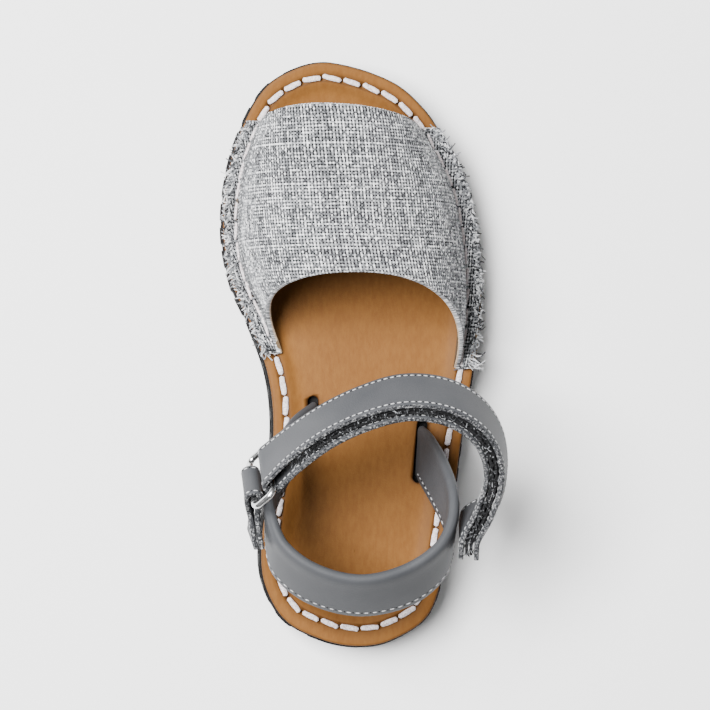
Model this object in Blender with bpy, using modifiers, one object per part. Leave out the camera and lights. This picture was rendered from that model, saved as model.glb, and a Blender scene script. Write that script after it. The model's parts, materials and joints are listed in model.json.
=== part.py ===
"""Child's avarca sandal, right foot, with a cloth vamp, a heel strap and a closed instep strap.

Frame: +Y to the toe, +X to the wearer's right, which is the outer side of this foot, +Z up.
The origin lies on the floor, in the middle of the heel's flat tread.
"""
import math

import bmesh
import bpy
import numpy as np
from mathutils import Vector

# Overall sizes in metres
SOLE_LENGTH = 0.1508
BALL_WIDTH = 0.0674
HEEL_SEAT = 0.0253          # from the back of the heel to the origin
GAP = 0.0003                # between two pieces that meet

# Outsole
FOREFOOT_HEIGHT = 0.0080
HEEL_HEIGHT = 0.0110
TOE_SPRING = 0.0055
ARCH_LIFT = 0.0016
LIP_HEIGHT = 0.0026         # plain band under the insole's edge
LUG_STEP = 0.0004           # how far the lugs stand out past that band
TREAD_ROUND = 0.0009
GROOVE_WIDTH = 0.0020
GROOVE_DEPTH = 0.0022
GROOVE_PITCH = 0.0062
TREAD_SPINE = 0.0120        # uncut middle of the tread

# Insole
INSOLE_MARGIN = 0.0009      # from the outsole's edge in to the insole's
INSOLE_THICK = 0.0025
INSOLE_DIP = 0.0007
INSOLE_ROUND = 0.0004
STITCH_INSET = 0.0041       # seam line, from the outsole's edge
SEAM_TO_ARCH = 0.0019       # seam line, in to the foot of the vamp's inner face

# Vamp
VAMP_THICK = 0.0015
VAMP_FRONT_RISE = 0.0185
VAMP_THROAT_RISE = 0.0320
VAMP_BULGE = 0.0033         # forward bow of the toe edge
MEDIAL_HEM = 0.0018         # hem's edge, from the outsole's edge
LATERAL_HEM = 0.0004

# Heel strap
HEEL_STRAP_WIDTH = 0.0172
HEEL_STRAP_THICK = 0.0028
HEEL_STRAP_HALF_SPAN = 0.0232
HEEL_STRAP_REACH = 0.0379   # from the slots back to the strap's rearmost section
HEEL_STRAP_RISE = 0.0294    # from the insole up to the strap's middle at the back
STRAP_IN_SLOT = 0.75        # heel strap's width and thickness in its slots, share of its full ones
SLOT_MEDIAL_X = -0.0105
SLOT_MEDIAL_Y = 0.0315
SLOT_MEDIAL_TURN = -2.0     # degrees
SLOT_LATERAL_X = 0.0172
SLOT_LATERAL_Y = 0.0254
SLOT_LATERAL_TURN = -5.0

# Instep strap, with its two fastening strips between the layers
STRAP_WIDTH = 0.0140
STRAP_THICK = 0.0012
STRIP_WIDTH = 0.0126
STRIP_THICK = 0.0007
STRIP_GAP = 0.0004          # between the layers of the closed strap
STRAP_HALF_SPAN = 0.0333
STRAP_REACH = 0.0415        # from the foremost section of the strap back to its fixed end
STRAP_CROWN = 0.0549        # height of the strap's middle over the instep
STRAP_DROP = 0.0140         # from the crown down to the outer end
STRAP_TAIL = 0.0050         # how far the closed strap runs on along the heel strap
STRAP_FRONT_Y = 0.0392      # foremost section, from the origin

# Ring and its keeper
WIRE = 0.0016
RING_SPAN = 0.0064          # between the middles of the two bars
KEEPER_WIDTH = 0.0110

# Closed outline of the outsole, from the toe's tip round the outer side, the heel and the inner side:
# share of the sole's length from the back of the heel, share of the ball's width from the axis.
OUTLINE = (
    (1.000, -0.080), (0.970, 0.147), (0.925, 0.274), (0.861, 0.371), (0.784, 0.447),
    (0.685, 0.489), (0.592, 0.498), (0.479, 0.472), (0.351, 0.423), (0.214, 0.383),
    (0.119, 0.349), (0.050, 0.286), (0.009, 0.141), (0.000, 0.015), (0.011, -0.119),
    (0.046, -0.267), (0.108, -0.347), (0.174, -0.362), (0.274, -0.335), (0.380, -0.316),
    (0.466, -0.337), (0.552, -0.404), (0.619, -0.471), (0.705, -0.507), (0.798, -0.494),
    (0.881, -0.442), (0.957, -0.344), (0.993, -0.208),
)

# Tread: where the toe spring starts, where the arch and the heel's wedge begin and end (shares of length)
SPRING_START = 0.72
ARCH = (0.30, 0.57)
WEDGE = (0.28, 0.62)
HEEL_GROOVES = 4            # to each side of the heel's middle
TOE_REST = 0.645            # middle of the forefoot's flat tread
TOE_GROOVES = (-2, 8)       # first and last groove, counted from there

# Vamp's edges: share of length at the seam on the inner and the outer side, and at the crown
TOE_EDGE = (0.896, 0.886)
THROAT_EDGE = (0.503, 0.478)
THROAT_CROWN = 0.633
THROAT_SWEEP = (0.50, 0.90)  # how sharply the throat turns up from the seam, inner and outer side
VAMP_SQUARENESS = 2.25       # 2 is a round arch, more is boxier
CROWN_SHIFT = -0.06          # crown towards the inner side, share of the vamp's half width

# Heel strap from the outer slot round the back to the inner slot: across as a share of the half span,
# back as a share of the reach, up as a share of the rise, the direction from lower to upper edge, and
# the section's size as a share of the full one.
HEEL_STRAP = (
    (0.80, 0.147, 0.27, (0.17, 0.88, 0.44), 0.80),
    (0.90, 0.282, 0.53, (0.15, 0.73, 0.67), 0.88),
    (0.98, 0.438, 0.75, (0.08, 0.57, 0.82), 0.95),
    (0.99, 0.601, 0.86, (-0.04, 0.47, 0.88), 1.00),
    (0.87, 0.778, 0.94, (-0.15, 0.50, 0.85), 1.00),
    (0.51, 0.936, 0.98, (-0.17, 0.57, 0.80), 1.00),
    (0.01, 1.000, 1.00, (-0.04, 0.59, 0.80), 1.00),
    (-0.49, 0.926, 0.98, (0.08, 0.56, 0.82), 1.00),
    (-0.83, 0.768, 0.94, (0.10, 0.52, 0.85), 1.00),
    (-0.94, 0.586, 0.85, (0.03, 0.53, 0.85), 1.00),
    (-0.94, 0.396, 0.70, (-0.07, 0.57, 0.82), 0.95),
    (-0.84, 0.206, 0.49, (-0.15, 0.68, 0.72), 0.88),
    (-0.66, 0.030, 0.24, (-0.15, 0.85, 0.51), 0.80),
)

# Section of the padded heel strap: share of its width from the middle, share of its thickness
HEEL_SECTION = (
    (-0.500, 0.12), (-0.485, 0.27), (-0.20, 0.38), (0.20, 0.43), (0.40, 0.50), (0.47, 0.38), (0.50, 0.12),
)

# Instep strap's middle from the ring to the outer side: across as a share of the half span, back as a
# share of the reach from its foremost section, down as a share of the drop, and its lean inwards in degrees.
INSTEP_STRAP = (
    (-0.658, 0.421, 0.707, 30.0),
    (-0.486, 0.300, 0.471, 26.0),
    (-0.246, 0.164, 0.221, 26.0),
    (0.020, 0.062, 0.064, 29.0),
    (0.310, 0.000, 0.000, 33.0),
    (0.600, 0.022, 0.057, 33.0),
    (0.832, 0.122, 0.236, 27.0),
    (0.964, 0.273, 0.479, 17.0),
    (1.000, 0.459, 0.714, 9.0),
    (0.940, 0.658, 0.880, 6.0),
)

# Where the other pieces lie on the heel strap: its row, counted from the outer slot, and how far up
# its width, as a share of the width
FIXED_END = (3.86, 0.10)
KEEPER_TAIL = ((10.72, 0.15), (10.38, 0.00), (10.00, -0.17))

# Smaller sizes and how finely each surface is divided
INSOLE_BED_START = 0.0006   # from the seam in to the bed's edge
INSOLE_BED_SLOPE = 0.0040
STRAP_UPRIGHT = 0.0010      # how far the heel strap stands straight out of its slots
SLOT_ROWS = 3
LAID_SLACK = 0.0004         # besides the gap, under a flat strap end on the curved heel strap
RING_SLACK = 0.0003
RING_CORNER = 0.0018
KEEPER_CLOSE = 0.55         # share of the keeper's length where its layers meet
STRIP_REACH = (0.14, 0.985)
VAMP_CROWN_CURVE = 0.92     # below 1 the crown climbs soonest near the toe edge
HEM_CREASE = (0.12, 0.40)   # extra turns beside each hem, in steps of the arch
SMOOTH_ANGLE = 35.0         # degrees between faces that still shade as one
ROUND_END = (0.0, 0.0008, 0.0035, 0.009, 0.018, 0.032, 0.052)   # shares of length at the sole's two ends
STRAP_EASE = 0.3            # rounding of a strap's edges, share of its thickness
OUTLINE_STEPS = 10
SOLE_PLACES = 26
INSOLE_COLUMNS = (0.0, 0.10, 0.17, 0.26, 0.42, 0.58, 0.74, 0.83, 0.90, 1.0)
SLOT_STEPS = 4
VAMP_TURNS = 20
VAMP_ROWS = 15
HEM_COLUMNS = 2
HEEL_STRAP_STEPS = 3
STRAP_STEPS = 3
FOLD_STEPS = 7
KEEPER_STEPS = 3
RING_STEPS = 4

COLOURS = {
    "outsole": ((0.020, 0.020, 0.021), 0.75, 0.0),
    "insole": ((0.560, 0.300, 0.120), 0.60, 0.0),
    "vamp": ((0.430, 0.455, 0.490), 0.95, 0.0),
    "heel_strap": ((0.215, 0.225, 0.240), 0.50, 0.0),
    "instep_strap": ((0.215, 0.225, 0.240), 0.50, 0.0),
    "loop_strip": ((0.060, 0.062, 0.066), 0.95, 0.0),
    "hook_strip": ((0.050, 0.052, 0.056), 0.90, 0.0),
    "ring": ((0.780, 0.790, 0.800), 0.22, 1.0),
    "ring_keeper": ((0.215, 0.225, 0.240), 0.55, 0.0),
}


# Scene and small helpers

def clear_scene():
    for item in list(bpy.data.objects):
        bpy.data.objects.remove(item, do_unlink=True)


def new_collection(name):
    collection = bpy.data.collections.new(name)
    bpy.context.scene.collection.children.link(collection)
    return collection


def material(name):
    colour, roughness, metallic = COLOURS[name]
    made = bpy.data.materials.new(name)
    made.use_nodes = True
    shader = made.node_tree.nodes["Principled BSDF"]
    shader.inputs["Base Color"].default_value = (*colour, 1.0)
    shader.inputs["Roughness"].default_value = roughness
    shader.inputs["Metallic"].default_value = metallic
    return made


def add_mesh(name, points, faces, collection, closed=True):
    """One object from points and faces; a closed one gets its faces turned outwards."""
    mesh = bpy.data.meshes.new(name)
    mesh.from_pydata([tuple(point) for point in points], [], faces)
    if closed:
        work = bmesh.new()
        work.from_mesh(mesh)
        bmesh.ops.recalc_face_normals(work, faces=work.faces)
        work.to_mesh(mesh)
        work.free()
    mesh.shade_smooth()
    mesh.set_sharp_from_angle(angle=math.radians(SMOOTH_ANGLE))
    made = bpy.data.objects.new(name, mesh)
    collection.objects.link(made)
    return made


def finish_part(part, name):
    part.data.materials.append(material(name))
    return part


def smoothstep(value):
    held = min(max(value, 0.0), 1.0)
    return held * held * (3.0 - 2.0 * held)


def spline(rows, steps, closed=False):
    """Points on a smooth curve through the rows, with the same number of steps between each two."""
    rows = [np.array(row, dtype=float) for row in rows]
    count = len(rows)

    def apart(first, second):
        return max(np.linalg.norm((second - first)[:3]), 1e-9)

    spans = count if closed else count - 1
    points = []
    for span in range(spans):
        start, end = rows[span], rows[(span + 1) % count]
        before = rows[span - 1] if closed or span else start
        after = rows[(span + 2) % count] if closed or span + 2 < count else end
        here = apart(start, end)
        leave = (end - before) * here / (here + apart(before, start))
        arrive = (after - start) * here / (here + apart(end, after))
        for step in range(steps):
            t = step / steps
            points.append(
                (2 * t**3 - 3 * t**2 + 1) * start + (t**3 - 2 * t**2 + t) * leave
                + (3 * t**2 - 2 * t**3) * end + (t**3 - t**2) * arrive
            )
    if not closed:
        points.append(rows[-1])
    return np.array(points)


# Sole's shape

def share_of(y):
    return (y + HEEL_SEAT) / SOLE_LENGTH


def along(share):
    return share * SOLE_LENGTH - HEEL_SEAT


def tread_height(y):
    """Height of the tread above the floor."""
    share = share_of(y)
    spring = max(0.0, (share - SPRING_START) / (1.0 - SPRING_START)) ** 2
    arch = math.sin(math.pi * min(max((share - ARCH[0]) / (ARCH[1] - ARCH[0]), 0.0), 1.0)) ** 2
    return TOE_SPRING * spring + ARCH_LIFT * arch


def sole_top(y):
    """Height of the outsole's upper face."""
    share = share_of(y)
    spring = max(0.0, (share - SPRING_START) / (1.0 - SPRING_START)) ** 2
    wedge = 1.0 - smoothstep((share - WEDGE[0]) / (WEDGE[1] - WEDGE[0]))
    return TOE_SPRING * spring + FOREFOOT_HEIGHT + (HEEL_HEIGHT - FOREFOOT_HEIGHT) * wedge


def insole_base(y):
    return sole_top(y) + GAP


def insole_rim(y):
    return insole_base(y) + INSOLE_THICK


def outline(inset):
    """Closed outline of the sole, moved in by the inset, as x and y."""
    rows = [(across * BALL_WIDTH, along(share)) for share, across in OUTLINE]
    points = spline(rows, OUTLINE_STEPS, closed=True)
    tangent = np.roll(points, -1, axis=0) - np.roll(points, 1, axis=0)
    tangent /= np.linalg.norm(tangent, axis=1)[:, None]
    inward = np.stack([tangent[:, 1], -tangent[:, 0]], axis=1)
    return points + inward * inset


def two_sides(inset):
    """The outline's inner and outer side, each as x and y from heel to toe."""
    points = outline(inset)
    toe = int(np.argmax(points[:, 1]))
    points = np.roll(points, -toe, axis=0)
    heel = int(np.argmin(points[:, 1]))
    outer = points[: heel + 1][::-1]
    inner = np.vstack([points[heel:], points[:1]])
    return inner, outer


def side_x(sides, y):
    """Inner and outer x of an outline at y."""
    inner, outer = sides
    return float(np.interp(y, inner[:, 1], inner[:, 0])), float(np.interp(y, outer[:, 1], outer[:, 0]))


def place_shares():
    """Places from the heel's tip to the toe's, closer together at the round ends."""
    first = ROUND_END[-1]
    inside = [first + (1.0 - 2.0 * first) * step / SOLE_PLACES for step in range(1, SOLE_PLACES)]
    return list(ROUND_END) + inside + [1.0 - share for share in reversed(ROUND_END)]


def plate(name, levels, columns, collection):
    """A solid with sections across the sole. Each level, from the tread up, has its sides and its height."""
    shares = place_shares()
    last, top = len(shares) - 1, len(levels) - 1
    points, index = [], {}
    for level, (sides, height) in enumerate(levels):
        low, high = sides[0][0, 1], sides[0][-1, 1]
        for row, share in enumerate(shares):
            y = low + (high - low) * share
            left, right = side_x(sides, y)
            tip = row in (0, last)
            for column, across in enumerate(columns):
                if tip and column:
                    index[level, row, column] = index[level, row, 0]
                    continue
                x = (left + right) / 2 if tip else left + (right - left) * across
                index[level, row, column] = len(points)
                points.append((x, y, height(x, y)))
    faces = []

    def add_face(corners):
        kept = list(dict.fromkeys(index[corner] for corner in corners))
        if len(kept) > 2:
            faces.append(kept)

    for row in range(last):
        for column in range(len(columns) - 1):
            for level in (0, top):
                add_face([(level, row, column), (level, row, column + 1),
                          (level, row + 1, column + 1), (level, row + 1, column)])
        for level in range(top):
            for column in (0, len(columns) - 1):
                add_face([(level, row, column), (level, row + 1, column),
                          (level + 1, row + 1, column), (level + 1, row, column)])
    return add_mesh(name, points, faces, collection)


def cut(part, cutter):
    """Cuts the cutter out of the part, and keeps the cutter as a hidden wire object."""
    cutter.hide_render = True
    cutter.display_type = "WIRE"
    modifier = part.modifiers.new("cut", "BOOLEAN")
    modifier.operation = "DIFFERENCE"
    modifier.solver = "EXACT"
    modifier.object = cutter


def boxes(name, places, collection):
    """One cutter object from boxes, each given by its middle and its size."""
    work = bmesh.new()
    for middle, size in places:
        made = bmesh.ops.create_cube(work, size=1.0)["verts"]
        bmesh.ops.scale(work, vec=size, verts=made)
        bmesh.ops.translate(work, vec=middle, verts=made)
    mesh = bpy.data.meshes.new(name)
    work.to_mesh(mesh)
    work.free()
    made = bpy.data.objects.new(name, mesh)
    collection.objects.link(made)
    return made


# Outsole and insole

def groove_places():
    """Middle and size of each tread groove, in pairs beside the uncut spine."""
    heel = [step * GROOVE_PITCH for step in range(-HEEL_GROOVES, HEEL_GROOVES + 1)]
    toe = [along(TOE_REST) + step * GROOVE_PITCH for step in range(TOE_GROOVES[0], TOE_GROOVES[1] + 1)]
    depth, reach = HEEL_HEIGHT, BALL_WIDTH
    places = []
    for y in heel + toe:
        for side in (-1, 1):
            x = side * (TREAD_SPINE + reach) / 2
            z = tread_height(y) + GROOVE_DEPTH - depth / 2
            places.append(((x, y, z), (reach, GROOVE_WIDTH, depth)))
    return places


def outsole(parts, cutters):
    edge, drawn_in, lip = two_sides(0.0), two_sides(TREAD_ROUND), two_sides(LUG_STEP)
    levels = (
        (drawn_in, lambda x, y: tread_height(y)),
        (edge, lambda x, y: tread_height(y) + TREAD_ROUND),
        (edge, lambda x, y: sole_top(y) - LIP_HEIGHT - LUG_STEP),
        (lip, lambda x, y: sole_top(y) - LIP_HEIGHT),
        (lip, lambda x, y: sole_top(y)),
    )
    part = plate("outsole", levels, (0.0, 1.0), parts)
    cut(part, boxes("tread_grooves", groove_places(), cutters))
    return part


def insole_height():
    """Height of the insole's upper face at x and y: a flat rim with the seam, and a shallow bed inside it."""
    edge = outline(INSOLE_MARGIN)
    start = STITCH_INSET - INSOLE_MARGIN + INSOLE_BED_START

    def height(x, y):
        inside = float(np.min(np.hypot(edge[:, 0] - x, edge[:, 1] - y)))
        return insole_rim(y) - INSOLE_DIP * smoothstep((inside - start) / INSOLE_BED_SLOPE)

    return height


def slot_places():
    """Middle on the insole and turn of the outer and the inner slot."""
    return (
        (Vector((SLOT_LATERAL_X, SLOT_LATERAL_Y, 0.0)), math.radians(SLOT_LATERAL_TURN)),
        (Vector((SLOT_MEDIAL_X, SLOT_MEDIAL_Y, 0.0)), math.radians(SLOT_MEDIAL_TURN)),
    )


def slot_cutters(collection):
    """Two upright bars with round ends, one for each slot."""
    half_width = HEEL_STRAP_THICK * STRAP_IN_SLOT / 2 + GAP
    half_length = HEEL_STRAP_WIDTH * STRAP_IN_SLOT / 2 + GAP
    points, faces = [], []
    for middle, turn in slot_places():
        first = len(points)
        rim = []
        for end in (1, -1):
            for step in range(SLOT_STEPS + 1):
                angle = math.pi * step / SLOT_STEPS + (0 if end > 0 else math.pi)
                rim.append((half_width * math.cos(angle), end * half_length + half_width * math.sin(angle)))
        for height in (HEEL_HEIGHT - INSOLE_THICK, HEEL_HEIGHT + 2 * INSOLE_THICK):
            for x, y in rim:
                turned_x = x * math.cos(turn) - y * math.sin(turn)
                turned_y = x * math.sin(turn) + y * math.cos(turn)
                points.append((middle.x + turned_x, middle.y + turned_y, height))
        count = len(rim)
        faces.append(list(range(first, first + count)))
        faces.append(list(range(first + count, first + 2 * count)))
        for step in range(count):
            ahead = (step + 1) % count
            faces.append([first + step, first + ahead, first + count + ahead, first + count + step])
    return add_mesh("strap_slots", points, faces, collection)


def insole(parts, cutters):
    edge, rounded = two_sides(INSOLE_MARGIN), two_sides(INSOLE_MARGIN + INSOLE_ROUND)
    levels = (
        (edge, lambda x, y: insole_base(y)),
        (edge, lambda x, y: insole_rim(y) - INSOLE_ROUND),
        (rounded, insole_height()),
    )
    part = plate("insole", levels, INSOLE_COLUMNS, parts)
    cut(part, slot_cutters(cutters))
    return part


# Vamp

def vamp_rise(y):
    """Height of the vamp's crown above the insole."""
    front, back = along(TOE_EDGE[0]), along(THROAT_CROWN)
    climb = (max(front - y, 0.0) / (front - back)) ** VAMP_CROWN_CURVE
    return VAMP_FRONT_RISE + (VAMP_THROAT_RISE - VAMP_FRONT_RISE) * climb


def vamp_y(turn, back):
    """Place along the foot, from the toe edge (back 0) to the throat (back 1), at a turn over the arch."""
    across, up = (1.0 - math.cos(turn)) / 2.0, math.sin(turn)
    toe = along(TOE_EDGE[0] + (TOE_EDGE[1] - TOE_EDGE[0]) * across) + VAMP_BULGE * up
    seam = along(THROAT_EDGE[0] + (THROAT_EDGE[1] - THROAT_EDGE[0]) * across)
    sweep = THROAT_SWEEP[0] + (THROAT_SWEEP[1] - THROAT_SWEEP[0]) * across
    throat = seam + (along(THROAT_CROWN) - seam) * max(up, 0.0) ** sweep
    return toe + (throat - toe) * back


def vamp_arch(turn, back, foot_sides):
    """Point on the vamp's inner face; the turn runs from the inner foot (0) to the outer foot (pi)."""
    y = vamp_y(turn, back)
    left, right = side_x(foot_sides, y)
    middle, half = (left + right) / 2, (right - left) / 2
    power = 2.0 / VAMP_SQUARENESS
    up = max(math.sin(turn), 0.0)
    aside = math.copysign(abs(math.cos(turn)) ** power, math.cos(turn))
    x = middle - half * aside + CROWN_SHIFT * half * up**2
    return x, y, insole_rim(y) + GAP + vamp_rise(y) * up**power


def vamp(parts):
    """Open arch of cloth with its two hems turned out over the insole's rim, thickened outwards."""
    foot_sides = two_sides(STITCH_INSET + SEAM_TO_ARCH)
    hems = (two_sides(MEDIAL_HEM), two_sides(LATERAL_HEM))
    turns = [math.pi * (step / VAMP_TURNS) for step in range(VAMP_TURNS + 1)]
    turns[1:1] = [math.pi * share / VAMP_TURNS for share in HEM_CREASE]
    turns[-1:-1] = [math.pi * (1.0 - share / VAMP_TURNS) for share in reversed(HEM_CREASE)]
    points, faces = [], []
    columns = len(turns) + 2 * HEM_COLUMNS
    for row in range(VAMP_ROWS + 1):
        back = row / VAMP_ROWS
        arch = [vamp_arch(turn, back, foot_sides) for turn in turns]
        hem_points = []
        for side, corner in ((0, arch[0]), (1, arch[-1])):
            edge = side_x(hems[side], corner[1])[side]
            shares = [(HEM_COLUMNS - step) / HEM_COLUMNS for step in range(HEM_COLUMNS)]
            hem_points.append([
                (corner[0] + (edge - corner[0]) * share, corner[1], corner[2]) for share in shares
            ])
        points += hem_points[0] + arch + hem_points[1][::-1]
    for row in range(VAMP_ROWS):
        for column in range(columns - 1):
            corner = row * columns + column
            faces.append([corner, corner + columns, corner + columns + 1, corner + 1])
    part = add_mesh("vamp", points, faces, parts, closed=False)
    wall = part.modifiers.new("wall", "SOLIDIFY")
    wall.thickness = VAMP_THICK
    wall.offset = 1.0
    return part


# Straps

def unit(vector):
    return vector / np.linalg.norm(vector)


def frames_along(rows, steps):
    """Middle, width direction, outward direction and heading at each step along a strap's rows.
    A row has its middle, its width direction and the section's size; the size scales both directions."""
    path = spline([[*middle, *direction, size] for middle, direction, size in rows], steps)
    tangents = np.gradient(path[:, :3], axis=0)
    frames = []
    for point, tangent in zip(path, tangents):
        width, ahead, size = unit(point[3:6]), unit(tangent), point[6]
        frames.append((point[:3], width * size, unit(np.cross(width, ahead)) * size, ahead))
    return frames


def band(name, frames, section, collection):
    """A closed band: the section, as places across the width and the thickness, at each frame."""
    points = [
        middle + width * across + out * deep
        for middle, width, out, _ in frames for across, deep in section
    ]
    count, last = len(section), len(frames) - 1
    faces = [list(range(count)), list(range(last * count, (last + 1) * count))]
    for row in range(last):
        here, ahead = row * count, (row + 1) * count
        for step in range(count):
            beside = (step + 1) % count
            faces.append([here + step, here + beside, ahead + beside, ahead + step])
    return add_mesh(name, points, faces, collection)


def leather_section(width, thick):
    """Flat strip with its long edges eased."""
    ease = thick * STRAP_EASE
    half, deep = width / 2, thick / 2
    return (
        (-half, -deep + ease), (-half + ease, -deep), (half - ease, -deep), (half, -deep + ease),
        (half, deep - ease), (half - ease, deep), (-half + ease, deep), (-half, deep - ease),
    )


def padded_section():
    """Heel strap's section, thicker to its rolled upper edge."""
    outer = [(across * HEEL_STRAP_WIDTH, deep * HEEL_STRAP_THICK) for across, deep in HEEL_SECTION]
    return outer + [(across, -deep) for across, deep in reversed(outer)]


def heel_frames():
    """From the outer slot round the back of the heel to the inner slot."""
    rows = []
    slots = slot_places()
    slot_line = (SLOT_LATERAL_Y + SLOT_MEDIAL_Y) / 2
    seat = insole_rim(slot_line) - INSOLE_DIP

    def slot_rows(slot):
        middle, turn = slot
        direction = np.array([-math.sin(turn), math.cos(turn), 0.0])
        foot = sole_top(middle.y - HEEL_STRAP_WIDTH * STRAP_IN_SLOT / 2) + GAP
        heights = (foot, seat, seat + STRAP_UPRIGHT)
        return [(np.array([middle.x, middle.y, height]), direction, STRAP_IN_SLOT) for height in heights]

    rows += slot_rows(slots[0])
    for across, back, up, direction, size in HEEL_STRAP:
        middle = np.array([
            across * HEEL_STRAP_HALF_SPAN, slot_line - back * HEEL_STRAP_REACH, seat + up * HEEL_STRAP_RISE,
        ])
        rows.append((middle, unit(np.array(direction)), size))
    rows += slot_rows(slots[1])[::-1]
    return frames_along(rows, HEEL_STRAP_STEPS)


def on_heel_strap(frames, row, up, lift):
    """Point over the heel strap's outer face, and the direction outwards there."""
    place = (row + SLOT_ROWS - 1) * HEEL_STRAP_STEPS
    low = int(place)
    share = place - low
    near, far = frames[low], frames[low + 1]
    middle, width, out = (near[item] * (1 - share) + far[item] * share for item in range(3))
    face = middle + width * up * HEEL_STRAP_WIDTH + out * HEEL_STRAP_THICK / 2
    return face + unit(out) * (GAP + lift), unit(out)


def laid_rows(heel, places, lift, start):
    """Rows of a strap that comes from a start point and lies flat on the heel strap."""
    laid = [on_heel_strap(heel, row, up, lift + LAID_SLACK) for row, up in places]
    path = unit(laid[-1][0] - start)
    return [(point, unit(np.cross(path, out)), 1.0) for point, out in laid]


def instep_frames(heel):
    """Middle of the instep strap's stack, from the ring's inner bar to its end on the heel strap."""
    middles = [
        np.array([
            across * STRAP_HALF_SPAN, STRAP_FRONT_Y - back * STRAP_REACH, STRAP_CROWN - down * STRAP_DROP,
        ])
        for across, back, down, _ in INSTEP_STRAP
    ]
    lift = STRAP_THICK + STRIP_GAP + STRIP_THICK + STRIP_GAP / 2
    laid = laid_rows(heel, (FIXED_END,), lift, middles[-1])
    point, direction, size = laid[-1]
    _, out = on_heel_strap(heel, *FIXED_END, lift)
    laid.append((point + unit(np.cross(out, direction)) * STRAP_TAIL, direction, size))
    tangents = np.gradient(np.array(middles + [laid[0][0]]), axis=0)
    rows = []
    for middle, tangent, (_, _, _, lean) in zip(middles, tangents, INSTEP_STRAP):
        ahead, turn = unit(tangent), math.radians(lean)
        sideways = unit(np.cross((0.0, 0.0, 1.0), ahead))
        direction = np.cross(ahead, sideways) * math.cos(turn) - sideways * math.sin(turn)
        rows.append((middle, direction, 1.0))
    return frames_along(rows + laid, STRAP_STEPS)


def folded(frames, apart):
    """Frames of a strip that comes in under the middle line, turns round the first frame and goes back."""
    inner = [
        (middle - out * away, width, -out, -ahead) for (middle, width, out, ahead), away in zip(frames, apart)
    ]
    middle, width, out, ahead = frames[0]
    turn = []
    for step in range(1, FOLD_STEPS):
        angle = math.pi * step / FOLD_STEPS
        facing = -math.cos(angle) * out - math.sin(angle) * ahead
        turn.append((middle + facing * apart[0], width, facing, ahead))
    outer = [
        (middle + out * away, width, out, ahead) for (middle, width, out, ahead), away in zip(frames, apart)
    ]
    return inner[::-1] + turn + outer


def shifted(frames, first, last, away):
    """Frames between two shares of the length, moved outwards."""
    count = len(frames) - 1
    low, high = round(first * count), round(last * count)
    return [(middle + out * away, width, out, ahead) for middle, width, out, ahead in frames[low:high + 1]]


def ring(bar, collection):
    """Rounded wire ring through the instep strap's fold and the keeper."""
    middle, width, out, ahead = bar
    centre = middle - ahead * RING_SPAN / 2
    half_long = STRAP_WIDTH / 2 + RING_SLACK + RING_CORNER
    corners = ((1, 1), (-1, 1), (-1, -1), (1, -1))
    loop = []
    for number, (side, end) in enumerate(corners):
        for step in range(RING_STEPS + 1):
            angle = math.pi / 2 * (number + step / RING_STEPS)
            across = side * (RING_SPAN / 2 - RING_CORNER) + RING_CORNER * math.cos(angle)
            up = end * (half_long - RING_CORNER) + RING_CORNER * math.sin(angle)
            loop.append(centre + ahead * across + width * up)
    curve = bpy.data.curves.new("ring", "CURVE")
    curve.dimensions = "3D"
    curve.bevel_depth = WIRE / 2
    curve.bevel_resolution = 2
    wire = curve.splines.new("POLY")
    wire.points.add(len(loop) - 1)
    for place, point in zip(wire.points, loop):
        place.co = (*point, 1.0)
    wire.use_cyclic_u = True
    part = bpy.data.objects.new("ring", curve)
    collection.objects.link(part)
    return part


def keeper_frames(heel, bar):
    """Middle of the keeper's two layers, from the ring's outer bar to its tail on the heel strap."""
    middle, width, _, ahead = bar
    start = middle - ahead * RING_SPAN
    rows = [(start, -width, 1.0)] + laid_rows(heel, KEEPER_TAIL, STRAP_THICK + GAP / 2, start)
    return frames_along(rows, KEEPER_STEPS)


def main():
    clear_scene()
    parts, cutters = new_collection("avarca_sandal"), new_collection("cutters")
    finish_part(outsole(parts, cutters), "outsole")
    finish_part(insole(parts, cutters), "insole")
    finish_part(vamp(parts), "vamp")

    heel = heel_frames()
    finish_part(band("heel_strap", heel, padded_section(), parts), "heel_strap")

    stack = instep_frames(heel)
    layer = STRIP_GAP / 2 + STRIP_THICK + STRIP_GAP + STRAP_THICK / 2
    doubled = folded(stack, [layer] * len(stack))
    strap = band("instep_strap", doubled, leather_section(STRAP_WIDTH, STRAP_THICK), parts)
    finish_part(strap, "instep_strap")
    strip = leather_section(STRIP_WIDTH, STRIP_THICK)
    for name, side in (("loop_strip", -1), ("hook_strip", 1)):
        frames = shifted(stack, *STRIP_REACH, side * (STRIP_GAP + STRIP_THICK) / 2)
        finish_part(band(name, frames, strip, parts), name)

    finish_part(ring(stack[0], parts), "ring")
    keeper = keeper_frames(heel, stack[0])
    wrap, flat = WIRE / 2 + GAP + STRAP_THICK / 2, (GAP + STRAP_THICK) / 2
    count = len(keeper) - 1
    apart = [wrap + (flat - wrap) * smoothstep(step / count / KEEPER_CLOSE) for step in range(count + 1)]
    tab = band("ring_keeper", folded(keeper, apart), leather_section(KEEPER_WIDTH, STRAP_THICK), parts)
    finish_part(tab, "ring_keeper")


main()
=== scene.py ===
"""Looks of the child's avarca sandal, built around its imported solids.

The pieces repeat the named sizes and curves of the solids, at a finer division.
Frame: +Y to the toe, +X to the outer side of the foot, +Z up, metres.
"""
import json
import math

import bmesh
import bpy
import numpy as np
from mathutils import Matrix, Vector

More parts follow.
